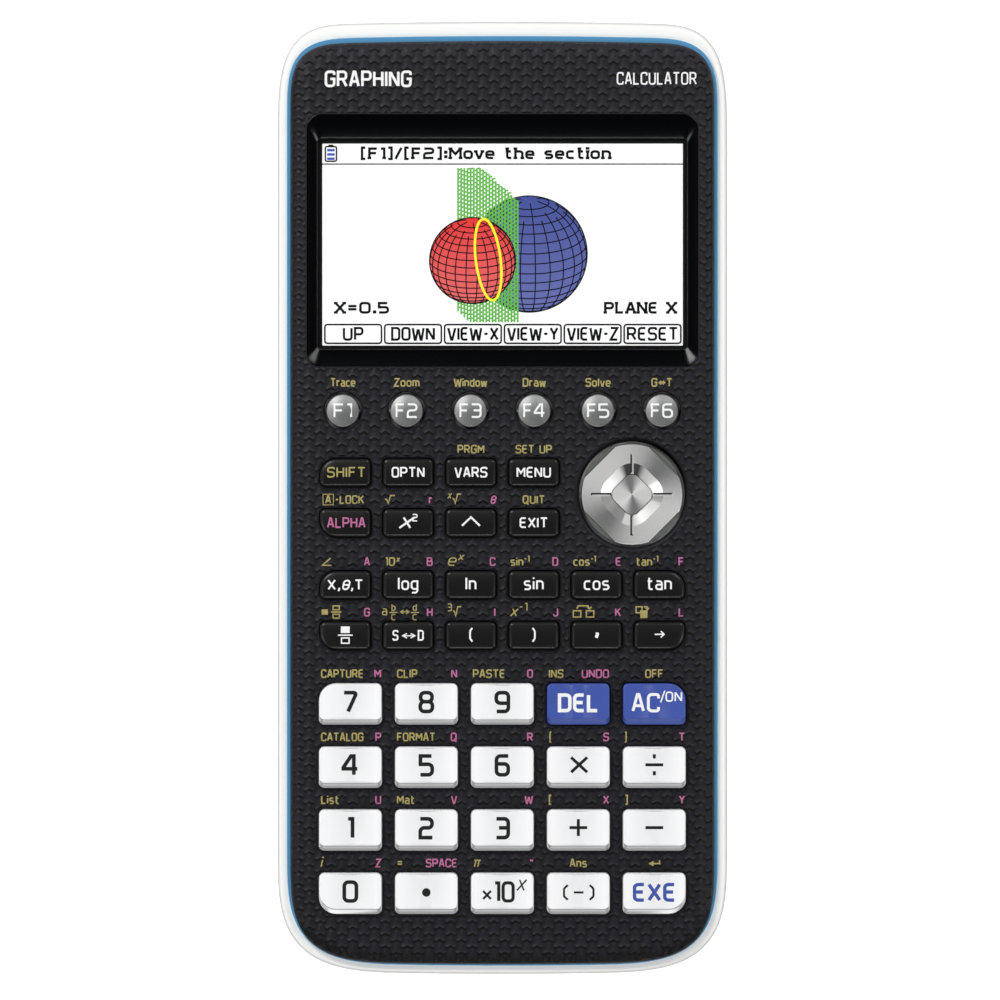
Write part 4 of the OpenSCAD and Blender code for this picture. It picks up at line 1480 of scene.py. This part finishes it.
def spun_metal(name, light, dark, dark_at):
    """Aluminium turned on a lathe: fine rings about the pad's axis, and a painted sheen in two lobes round
    it.

    dark_at is the angle of a painted dark lobe, in degrees anticlockwise from the right.
    """
    made, tree, shader = new_material(name)
    moved, angle = pad_angle(tree)
    rings = add_node(tree, "ShaderNodeTexWave", {"Vector": moved, "Scale": 2600, "Distortion": 0.0},
                     wave_type="RINGS", rings_direction="Z")
    fine = noise(tree, 0.16, 3.0)
    # Painted sheen: the base colour changes with the angle round the pad's axis, in two light and two dark
    # lobes, plus fine grain.
    lobe = maths(tree, "COSINE", maths(tree, "MULTIPLY_ADD", angle, 2.0, -2 * radians(dark_at)))
    sheen = maths(tree, "POWER", ramp(tree, lobe, -1.0, 1.0), 2.4)
    painted_sheen_and_grain = maths(tree, "ADD", sheen, spread(tree, fine, -0.14, 0.14))
    tree.links.new(blend_colours(tree, painted_sheen_and_grain, light, dark), shader.inputs["Base Color"])
    tree.links.new(spread(tree, fine, 0.27, 0.37), shader.inputs["Roughness"])
    tree.links.new(bump(tree, rings.outputs["Fac"], 0.002), shader.inputs["Normal"])
    tangent = add_node(tree, "ShaderNodeTangent", direction_type="RADIAL", axis="Z").outputs[0]
    tree.links.new(tangent, shader.inputs["Tangent"])
    shader.inputs["Metallic"].default_value = 0.6
    shader.inputs["Anisotropic"].default_value = 0.6
    return made


# Painted reflection: brightness of the polished ring by compass angle, from west over south, east and north
# back to west
RING_SHEEN = [(0.0, 0.3), (0.12, 0.15), (0.19, 0.17), (0.2, 0.42), (0.3, 0.5), (0.4, 0.36), (0.45, 0.34),
              (0.46, 0.24), (0.5, 0.24), (0.501, 1.0), (0.57, 1.0), (0.59, 0.62), (0.67, 0.45), (0.71, 0.03),
              (0.79, 0.03), (0.83, 0.6), (0.9, 0.85), (0.94, 1.0), (1.0, 1.0)]


def polished_ring(name):
    """Polished metal with painted reflections whose brightness jumps from facet to facet round the pad's
    axis.
    """
    made, tree, shader = new_material(name)
    _, angle = pad_angle(tree)
    # Painted reflection: the base colour follows RING_SHEEN round the pad's axis.
    sheen = add_node(tree, "ShaderNodeValToRGB", {0: ramp(tree, angle, -pi, pi)})
    stops = sheen.color_ramp.elements
    while len(stops) < len(RING_SHEEN):
        stops.new(0.5)
    for stop, (place, value) in zip(stops, RING_SHEEN):
        stop.position = place
        stop.color = (value, value, value * 0.99, 1)
    tree.links.new(sheen.outputs[0], shader.inputs["Base Color"])
    tree.links.new(spread(tree, noise(tree, 0.05), 0.4, 0.48), shader.inputs["Roughness"])
    shader.inputs["Metallic"].default_value = 0.5
    return made


# ---------- Labels on the face ----------

# Key: yellow label at the left, pink label at the right; a leading "=" centres the yellow one over the key
LABELS = {
    "key_f1": ("=Trace", ""), "key_f2": ("=Zoom", ""), "key_f3": ("=Window", ""), "key_f4": ("=Draw", ""),
    "key_f5": ("=Solve", ""), "key_f6": ("=G↔T", ""),
    "key_variables": ("=PRGM", ""), "key_menu": ("=SET UP", ""),
    "key_alpha": ("A-LOCK", ""), "key_square": ("√", "r"), "key_power": ("<~x>√", "~θ"),
    "key_exit": ("=QUIT", ""),
    "key_xt": ("∠", "A"), "key_log": ("10<~x>", "B"), "key_ln": ("~e<~x>", "C"),
    "key_sin": ("sin<-1>", "D"), "key_cos": ("cos<-1>", "E"), "key_tan": ("tan<-1>", "F"),
    "key_fraction": ("■⅓", "G"), "key_convert": ("fractions", "H"), "key_bracket_open": ("<3>√", "I"),
    "key_bracket_close": ("~x<-1>", "J"), "key_comma": ("⌂", "K"), "key_store": ("⌐", "L"),
    "key_7": ("CAPTURE", "M"), "key_8": ("CLIP", "N"), "key_9": ("PASTE", "O"),
    "key_delete": ("INS", "UNDO"), "key_clear": ("=OFF", ""),
    "key_4": ("CATALOG", "P"), "key_5": ("FORMAT", "Q"), "key_6": ("", "R"),
    "key_multiply": ("{", "S"), "key_divide": ("}", "T"),
    "key_1": ("List", "U"), "key_2": ("Mat", "V"), "key_3": ("", "W"),
    "key_add": ("[", "X"), "key_subtract": ("]", "Y"),
    "key_0": ("~i", "Z"), "key_point": ("=", "SPACE"), "key_exponent": ("~π", '"'),
    "key_negative": ("=Ans", ""), "key_execute": ("=↵", ""),
}
# Labels that are signs: height, how far below the line they start, and width
SIGNS = {"√": (1.9, 0, 2.2), "<~x>√": (2.2, 0, 2.9), "∠": (2.2, 0, 2.1), "~e<~x>": (2.3, 0, 3.0),
         "■⅓": (2.5, 0.35, 4.0), "<3>√": (2.2, 0, 2.9), "~x<-1>": (2.3, 0, 3.3), "⌂": (2.7, 0.2, 4.3),
         "⌐": (2.6, 0.3, 2.8), "~i": (2.2, 0, None), "~π": (2.2, 0, None), "{": (1.9, 0.1, None),
         "}": (1.9, 0.1, None)}
# Labels that are fitted to a width
LABEL_WIDTHS = {"Trace": 4.95, "Zoom": 5.1, "Window": 6.6, "Draw": 4.6, "Solve": 5.0, "↵": 2.4,
                "CAPTURE": 8.4, "CATALOG": 8.4, "FORMAT": 7.6, "SPACE": 6.2, "UNDO": 5.4}
LABEL_H = 1.74
LABEL_STROKE = 0.285


def fraction_label(at):
    """a b/c, a double arrow and d/c."""
    polygons = lettering("a", (at[0], at[1] + 0.25), 1.9, 0.22, "left")
    polygons += lettering("↔", (at[0] + 3.4, at[1] + 0.1), 1.8, 0.2, "left", fit=2.1)
    for dx, upper in ((1.5, "b"), (5.7, "d")):
        x = at[0] + dx
        polygons += lettering(upper, (x + 0.8, at[1] + 1.12), 1.4, 0.2)
        polygons += lettering("c", (x + 0.8, at[1] - 0.75), 1.7, 0.2)
        polygons += ribbon([(x, at[1] + 0.8), (x + 1.6, at[1] + 0.8)], 0.2, False)
    return polygons


def label_polygons(node, yellow, pink):
    """Polygons of the yellow and the pink label over a key."""
    low, high = node_box(node)
    centre = middle(node)
    margin = FLANGE if node not in ROUND_KEYS else 1.0
    left, right, edge = low.x + margin, high.x - margin, high.y - margin
    base = edge + (0.98 if node not in ROUND_KEYS else 1.48)
    first, second = [], []
    if yellow == "fractions":
        first = [fraction_label((left - 0.2, base))]
    elif yellow == "A-LOCK":
        first = [lettering("A", (left + 1.6, base), LABEL_H, LABEL_STROKE),
                 lettering("▭", (left + 1.6, base), LABEL_H, 0.16, fit=2.2),
                 lettering("-LOCK", (left + 3.0, base), LABEL_H, LABEL_STROKE, "left", fit=5.7)]
    elif len(yellow) > 1 and yellow[0] == "=":
        wide = LABEL_WIDTHS.get(yellow[1:])
        first = [lettering(yellow[1:], (centre.x, base), LABEL_H, LABEL_STROKE, fit=wide)]
    elif yellow in SIGNS:
        height, drop, wide = SIGNS[yellow]
        first = [lettering(yellow, (left + 0.3, base - drop), height, 0.26, "left", fit=wide)]
    elif yellow:
        wide = LABEL_WIDTHS.get(yellow)
        first = [lettering(yellow, (left + 0.4, base), LABEL_H, LABEL_STROKE, "left", fit=wide)]
    if pink:
        wide = LABEL_WIDTHS.get(pink)
        second = [lettering(pink, (right - 0.15, base), LABEL_H, LABEL_STROKE, "right", fit=wide)]
    return first, second


def face_print(name, labels, material):
    """Ink on the textured face, following its ridges."""
    solids = []
    for polygons in labels:
        xs = [x for polygon in polygons for x, _ in polygon]
        ys = [y for polygon in polygons for _, y in polygon]
        near = [line for (x, y), shape in TRIPODS for line in shape
                if min(xs) - 2 < x < max(xs) + 2 and min(ys) - 2 < y < max(ys) + 2]
        solids.append(print_solid(polygons, near, face_height))
    points, faces = joined(*solids)
    add_piece(name, points, faces, material, "case")


def build_labels(materials):
    """The yellow and pink labels over the keys, and two plain words at the top."""
    yellow, pink = [], []
    for node, (first, second) in LABELS.items():
        a, b = label_polygons(node, first, second)
        yellow += a
        pink += b
    face_print("labels_yellow", yellow, materials["ink_yellow"])
    face_print("labels_pink", pink, materials["ink_pink"])
    plain = [lettering("GRAPHING", (-35.1, 81.1), 3.3, 0.5, "left", fit=17.2),
             lettering("CALCULATOR", (38.4, 81.6), 2.5, 0.3, "right", fit=15.8)]
    face_print("labels_plain", plain, materials["ink_white"])


# ---------- Display ----------

# Left, right, bottom and top of the lit area, its height, and the step from one layer of it to the next
LCD = [-35.6, 35.7, 30.1, 70.03]
LCD_Z = 14.3
LAYER = 0.012


def flat_solid(polygons, z, thick):
    """A closed slab whose top is at z."""
    flat, triangles = union_sheet(polygons)
    return thick_sheet(flat, triangles, lambda x, y: z, lambda x, y: z - thick)


def globe(centre, r, tilt, bands, spokes):
    """Grid lines of a wire sphere seen a little from above, its visible half only."""
    lines = []
    t = radians(tilt)

    def seen(lat, lon):
        x, y, z = cos(lat) * sin(lon), sin(lat), cos(lat) * cos(lon)
        return (centre[0] + r * x, centre[1] + r * (y * cos(t) - z * sin(t))), z * cos(t) + y * sin(t)

    def add(track):
        run = []
        for point, depth in track:
            if depth > -0.02:
                run.append(point)
            elif run:
                lines.append(run)
                run = []
        lines.append(run)

    for i in range(1, bands - 1):
        lat = pi * i / bands - pi / 2
        add([seen(lat, 2 * pi * k / 48) for k in range(49)])
    for i in range(spokes):
        lon = 2 * pi * i / spokes + 0.11
        highest = 20 if i % 4 == 0 else 18 if i % 2 == 0 else 17
        add([seen(pi * k / 20 - pi / 2, lon) for k in range(highest)])
    return [line for line in lines if len(line) > 1]


def screen_layer(name, polygons, layer, material):
    """A thin slab of the display's picture; a higher layer covers a lower one."""
    points, faces = flat_solid(polygons, LCD_Z + LAYER * layer, 0.01)
    add_piece(name, points, faces, material, "case")


def screen_ball(colour, at, r, layer, n, materials):
    """A filled disc with the grid of a wire sphere over it."""
    screen_layer("screen_ball_" + colour, [circle(r, at, n)], layer, materials["lit_" + colour])
    grid = [q for line in globe(at, r, 20, 18, 24) for q in ribbon(line, 0.22, False)]
    grid += ribbon(circle(r, at, n), 0.2, True)
    screen_layer("screen_grid_" + colour, grid, layer + 1, materials["lit_black"])


def build_display(materials):
    """The module with its dark surround, and what the screen shows, in flat layers under the window."""
    low, high = node_box("display_panel")
    at = ((low.x + high.x) / 2, high.y - 23)
    shape = round_box([high.x - low.x, 46], [0.5] * 4, at)
    tail = round_box([18, 5.2], [0.3] * 4, (at[0], low.y + 2.6))
    rings = [level(shape, low.z), level(shape, LCD_Z - 0.06)]
    points, faces = joined(loft(rings), loft([level(tail, low.z), level(tail, low.z + 0.3)]))
    piece = add_piece("display_module", points, faces, materials["mask"], "case")
    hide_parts("display_panel")
    x0, x1, y0, y1 = LCD
    white = round_box([x1 - x0, y1 - y0], [0.1] * 4, ((x0 + x1) / 2, (y0 + y1) / 2), 2)
    points, faces = flat_solid([white], LCD_Z, 0.07)
    add_piece("screen", points, faces, materials["lit_white"], "case")
    dark = ribbon([(x0, 66.0), (x1, 66.0)], 0.24, False)
    dark += lettering("[F1]/[F2]:Move the section", (x0 + 7.6, 66.95), 2.35, 0.5, "left", fit=49.5, slab=1.4)
    dark += lettering("X=0.5", (x0 + 2.4, 36.4), 2.35, 0.5, "left", fit=10.8, slab=1.4)
    dark += lettering("PLANE X", (x1 - 1.2, 36.4), 2.35, 0.5, "right", fit=14.4, slab=1.4)
    for k, word in enumerate(("UP", "DOWN", "VIEW-X", "VIEW-Y", "VIEW-Z", "RESET")):
        left = x0 + 0.5 + 11.84 * k
        box = round_box([11.2, 3.7], [0.5] * 4, (left + 5.6, 32.4), 3)
        dark += ribbon(box, 0.33, True)
        wide = {"UP": 4.1, "DOWN": 8.7}.get(word, 10.2)
        dark += lettering(word, (left + 5.6, 31.05), 2.75, 0.46, fit=wide)
    x, y = x0 + 1.7, 68.1
    dark += ribbon(round_box([2.2, 2.9], [0.3] * 4, (x, y - 0.1), 2), 0.3, True)
    dark += ribbon([(x - 0.5, y + 1.6), (x + 0.5, y + 1.6)], 0.3, False)
    screen_layer("screen_text", dark, 2, materials["lit_black"])
    bars = []
    for k in range(3):
        bar_y = y - 1.05 + 0.85 * k
        bars += ribbon([(x - 0.75, bar_y), (x + 0.75, bar_y)], 0.5, False)
    screen_layer("screen_bars", bars, 2, materials["lit_navy"])
    screen_ball("blue", (5.3, 48.2), 11.5, 1, 90, materials)
    plane = [(-8.8, 65.2), (-8.8, 36.9), (-6.5, 34.7), (3.4, 34.7), (3.4, 58.4), (-4.1, 65.2)]
    screen_layer("screen_plane", hatch(plane), 3, materials["lit_green"])
    screen_ball("red", (-5.9, 46.9), 8.5, 4, 80, materials)
    loop = turned([(2.45 * x, 8.1 * y) for x, y in circle(1, n=60)], 7, (-2.8, 47.1))
    screen_layer("screen_loop", ribbon(loop, 0.5, True), 6, materials["lit_yellow"])


def hatch(polygon, pitch=0.62, width=0.35):
    """Brick-like hatching inside a convex polygon: upright lines joined by short staggered bars."""
    def span(x):
        ys = []
        for (xa, ya), (xb, yb) in zip(polygon, polygon[1:] + polygon[:1]):
            if min(xa, xb) <= x < max(xa, xb):
                ys.append(ya + (yb - ya) * (x - xa) / (xb - xa))
        return (min(ys), max(ys)) if len(ys) == 2 else None

    quads = []
    low = min(x for x, _ in polygon)
    high = max(x for x, _ in polygon)
    for i in range(int((high - low) / pitch) + 1):
        x = low + 0.05 + i * pitch
        ends = span(x)
        if not ends or x > high - 0.05:
            continue
        quads += ribbon([(x, ends[0]), (x, ends[1])], width, False)
        y = ends[0] + (0.35 if i % 2 else 0.75)
        while y < ends[1] - 0.1:
            if x + pitch < high:
                quads += ribbon([(x, y), (x + pitch, y + 0.12)], width * 0.9, False)
            y += 0.8
    return quads


# ---------- Materials of the pieces and of the CAD nodes that stay ----------

def make_materials():
    """Every material of the pieces, by the name that the build functions ask for."""
    m = {
        "case_black": face_plastic("face_plastic"),
        "bezel": finish("bezel_gloss", (0.0004, 0.0008, 0.001), 0.16, 0.1, 12, 0.3, 0.001,
                        Specular_IOR_Level=0.24),
        "case_white": white_shell("white_plastic"),
        "accent_blue": finish("blue_plastic", (0.07, 0.275, 0.50), 0.38, 0.04, 8, 0.12, 0.004),
        "key_white": white_key("white_key"),
        "key_blue": finish("blue_key", (0.043, 0.078, 0.33), 0.34, 0.04, 5, 0.15, 0.002),
        "key_black": finish("black_key", (0.006, 0.006, 0.0062), 0.30, 0.08, 4, 0.12, 0.003,
                            Specular_IOR_Level=0.3),
        "key_grey": grey_lacquer("grey_lacquer"),
        # The light and dark colours of each spun metal are its painted sheen and its painted dark lobes.
        "pad_metal": spun_metal("spun_ring", (0.82, 0.82, 0.81), (0.2, 0.205, 0.2), 44),
        "pad_centre": spun_metal("spun_centre", (0.90, 0.90, 0.89), (0.25, 0.255, 0.25), 100),
        "pad_bevel": polished_ring("polished_ring"),
        "pad_segment": finish("satin_segment", (0.09, 0.097, 0.09), 0.5, 0.04, 1, 0.05, 0.001,
                              Specular_IOR_Level=0.2),
        # Painted shade and painted highlight on the two walls of each slit.
        "pad_slit": finish("slit_metal", (0.02, 0.02, 0.02), 0.5, 0.04, 1, 0.05, 0.001,
                           Specular_IOR_Level=0.2),
        "pad_slit_lit": finish("slit_painted_highlight", (0.62, 0.62, 0.61), 0.5, 0.04, 1, 0.05, 0.001),
        "mask": finish("display_mask", (0.001, 0.0012, 0.0014), 0.4, Specular_IOR_Level=0.2),
        "ink_dark": ink("ink_dark", (0.007, 0.0075, 0.0075), Specular_IOR_Level=0.2),
        "ink_white": ink("ink_white", (0.77, 0.77, 0.77)),
        "ink_blue": ink("ink_blue", (0.035, 0.07, 0.32), Specular_IOR_Level=0.3),
        "ink_yellow": ink("ink_yellow", (0.32, 0.27, 0.078)),
        "ink_pink": ink("ink_pink", (0.42, 0.11, 0.25)),
    }
    lit = {"white": (0.9, 0.9, 0.9), "navy": (0.03, 0.07, 0.4), "green": (0.10, 0.40, 0.045),
           "yellow": (0.85, 0.79, 0.01)}
    for name, colour in lit.items():
        m["lit_" + name] = ink("screen_" + name, colour, Emission_Color=(*colour, 1), Emission_Strength=0.3)
    m["lit_black"] = ink("screen_black", (0.002, 0.002, 0.003), Specular_IOR_Level=0.1)
    m["lit_blue"] = lit_ball("screen_blue", (0.10, 0.12, 0.35), (0.03, 0.052, 0.255), 36.7, 59.7)
    m["lit_red"] = lit_ball("screen_red", (0.66, 0.11, 0.11), (0.66, 0.012, 0.012), 38.4, 55.4)
    return m


def dress(node, *materials):
    """Gives a CAD node that stays in view its materials."""
    piece = frame["nodes"][node]
    for i in range(len(piece.material_slots)):
        piece.material_slots[i].material = materials[min(i, len(materials) - 1)]


# Where the copper end of the cells starts, north of the bay's middle, and where the board's sockets start
COPPER_FROM = 9
SOCKETS_Y = 79


def sleeve():
    """Printed cell sleeve: dark, with a copper end."""
    made, tree, shader = new_material("cell_sleeve")
    band = maths(tree, "GREATER_THAN", place_along(tree, 1), (bay_at.y + COPPER_FROM) * MM)
    patches = noise(tree, 3)
    dark = blend_colours(tree, patches, (0.018, 0.02, 0.024), (0.03, 0.032, 0.038))
    copper = blend_colours(tree, patches, (0.5, 0.2, 0.05), (0.6, 0.27, 0.08))
    tree.links.new(blend_colours(tree, band, dark, copper), shader.inputs["Base Color"])
    tree.links.new(spread(tree, noise(tree, 0.3), 0.2, 0.3), shader.inputs["Roughness"])
    shader.inputs["Metallic"].default_value = 0.6
    return made


def board():
    """Green solder mask over tracks; chips underneath are dark, and the sockets at the far edge are metal."""
    made, tree, shader = new_material("circuit")
    place = add_node(tree, "ShaderNodeTexCoord").outputs["Object"]
    tracks = add_node(tree, "ShaderNodeTexBrick", {
        "Vector": place, "Scale": 260.0, "Mortar Size": 0.06, "Mortar": (0.03, 0.2, 0.09, 1),
        "Color1": (0.012, 0.10, 0.045, 1), "Color2": (0.016, 0.12, 0.055, 1)})
    below = maths(tree, "LESS_THAN", place_along(tree, 2), (BOARD_Z - 0.05) * MM)
    metal = maths(tree, "GREATER_THAN", place_along(tree, 1), SOCKETS_Y * MM)
    under = blend_colours(tree, metal, (0.02, 0.02, 0.022), (0.5, 0.5, 0.52))
    tree.links.new(blend_colours(tree, below, tracks.outputs["Color"], under), shader.inputs["Base Color"])
    tree.links.new(spread(tree, noise(tree, 0.4), 0.3, 0.42), shader.inputs["Roughness"])
    tree.links.new(maths(tree, "MULTIPLY", below, metal), shader.inputs["Metallic"])
    return made


def dress_cad():
    """Materials of the CAD nodes that no piece replaces."""
    clear = finish("window_plastic", (0.02, 0.022, 0.024), 0.05, 0.02, 20, 0.5, 0.0005, Alpha=0.06)
    dress("display_window", clear)
    dress("circuit_board", board())
    dress("keypad_mat", finish("mat_silicone", (0.55, 0.55, 0.51), 0.62, 0.05, 8, 0.3, 0.01))
    dress("batteries", sleeve())
    steel = finish("plated_steel", (0.56, 0.57, 0.58), 0.26, 0.06, 1.5, 0.06, 0.003, Metallic=1.0)
    dress("battery_contacts", steel)
    dress("case_screws", steel)
    dress("restart_button", finish("button_plastic", (0.03, 0.03, 0.034), 0.5, 0.08, 2, 0.1, 0.005))
    dress("cursor_carrier", finish("pivot_plastic", (0.62, 0.62, 0.58), 0.45, 0.05, 2, 0.1, 0.005))


# ---------- Camera, light and floor ----------

# In metres: width of the picture at the height WIDTH_Z, and height of the camera
IMAGE_W = 0.198
WIDTH_Z = 0.012
CAMERA_Z = 2.0


def build_camera():
    """Straight down from far away, so that the view is nearly parallel."""
    data = bpy.data.cameras.new("camera")
    data.sensor_width = 36
    data.lens = data.sensor_width * (CAMERA_Z - WIDTH_Z) / IMAGE_W
    data.clip_end = 20
    camera = bpy.data.objects.new("camera", data)
    camera.location = (-0.00046, -0.00044, CAMERA_Z)
    bpy.context.scene.collection.objects.link(camera)
    bpy.context.scene.camera = camera


def softbox(name, azimuth, off_axis, distance, size, power):
    """A rectangular light aimed at the object, off_axis degrees from straight up and azimuth from X."""
    data = bpy.data.lights.new(name, "AREA")
    data.shape = "RECTANGLE"
    data.size, data.size_y = size
    data.energy = power
    light = bpy.data.objects.new(name, data)
    a, b = radians(azimuth), radians(off_axis)
    way = Vector((cos(a) * sin(b), sin(a) * sin(b), cos(b)))
    light.location = way * distance
    light.rotation_euler = way.to_track_quat("Z", "Y").to_euler()
    bpy.context.scene.collection.objects.link(light)


def build_lights():
    """A sky that is bright low down, and five softboxes round the object."""
    world = bpy.data.worlds.new("studio")
    bpy.context.scene.world = world
    world.use_nodes = True
    background = world.node_tree.nodes["Background"]
    place = add_node(world.node_tree, "ShaderNodeTexCoord").outputs["Generated"]
    up = add_node(world.node_tree, "ShaderNodeSeparateXYZ", {"Vector": place}).outputs[2]
    strength = add_node(world.node_tree, "ShaderNodeMapRange", {
        "Value": up, "From Min": 0.05, "From Max": 0.6, "To Min": 0.62, "To Max": 0.03})
    background.inputs["Color"].default_value = (0.97, 0.98, 1.0, 1)
    world.node_tree.links.new(strength.outputs[0], background.inputs["Strength"])
    softbox("light_back_left", 130, 38, 0.85, (0.30, 0.30), 3.9)
    softbox("light_back_right", 50, 38, 0.85, (0.30, 0.30), 1.9)
    softbox("light_left", 202, 44, 0.9, (0.26, 0.34), 1.4)
    softbox("light_right", 336, 44, 0.9, (0.26, 0.34), 1.8)
    softbox("light_front", 268, 48, 0.95, (0.34, 0.26), 2.3)


def build_floor():
    """A pale square, 6 m wide, at the height of the feet."""
    mesh = bpy.data.meshes.new("floor")
    half = 3.0
    corners = [(-half, -half, 0), (half, -half, 0), (half, half, 0), (-half, half, 0)]
    mesh.from_pydata(corners, [], [(0, 1, 2, 3)])
    piece = bpy.data.objects.new("floor", mesh)
    bpy.context.scene.collection.objects.link(piece)
    mesh.materials.append(finish("pale_floor", (0.93, 0.93, 0.93), 0.7, 0.005, 300, 2, 0.001,
                                 Emission_Color=(1, 1, 1, 1), Emission_Strength=0.32))


def main():
    build_camera()
    build_lights()
    build_floor()
    bpy.context.scene.view_settings.view_transform = "Standard"
    materials = make_materials()
    build_face(materials["case_black"])
    build_bezel(materials["bezel"])
    build_band(materials["accent_blue"])
    build_rear_case(materials["case_white"])
    build_battery_cover(materials["case_white"])
    for node, legend in NUMBER_KEYS.items():
        build_number_key(node, legend, materials)
    for node, legend in WORD_KEYS.items():
        build_word_key(node, legend, materials)
    for node, legend in ROUND_KEYS.items():
        build_round_key(node, legend, materials)
    build_pad(materials)
    build_labels(materials)
    build_display(materials)
    dress_cad()


main()
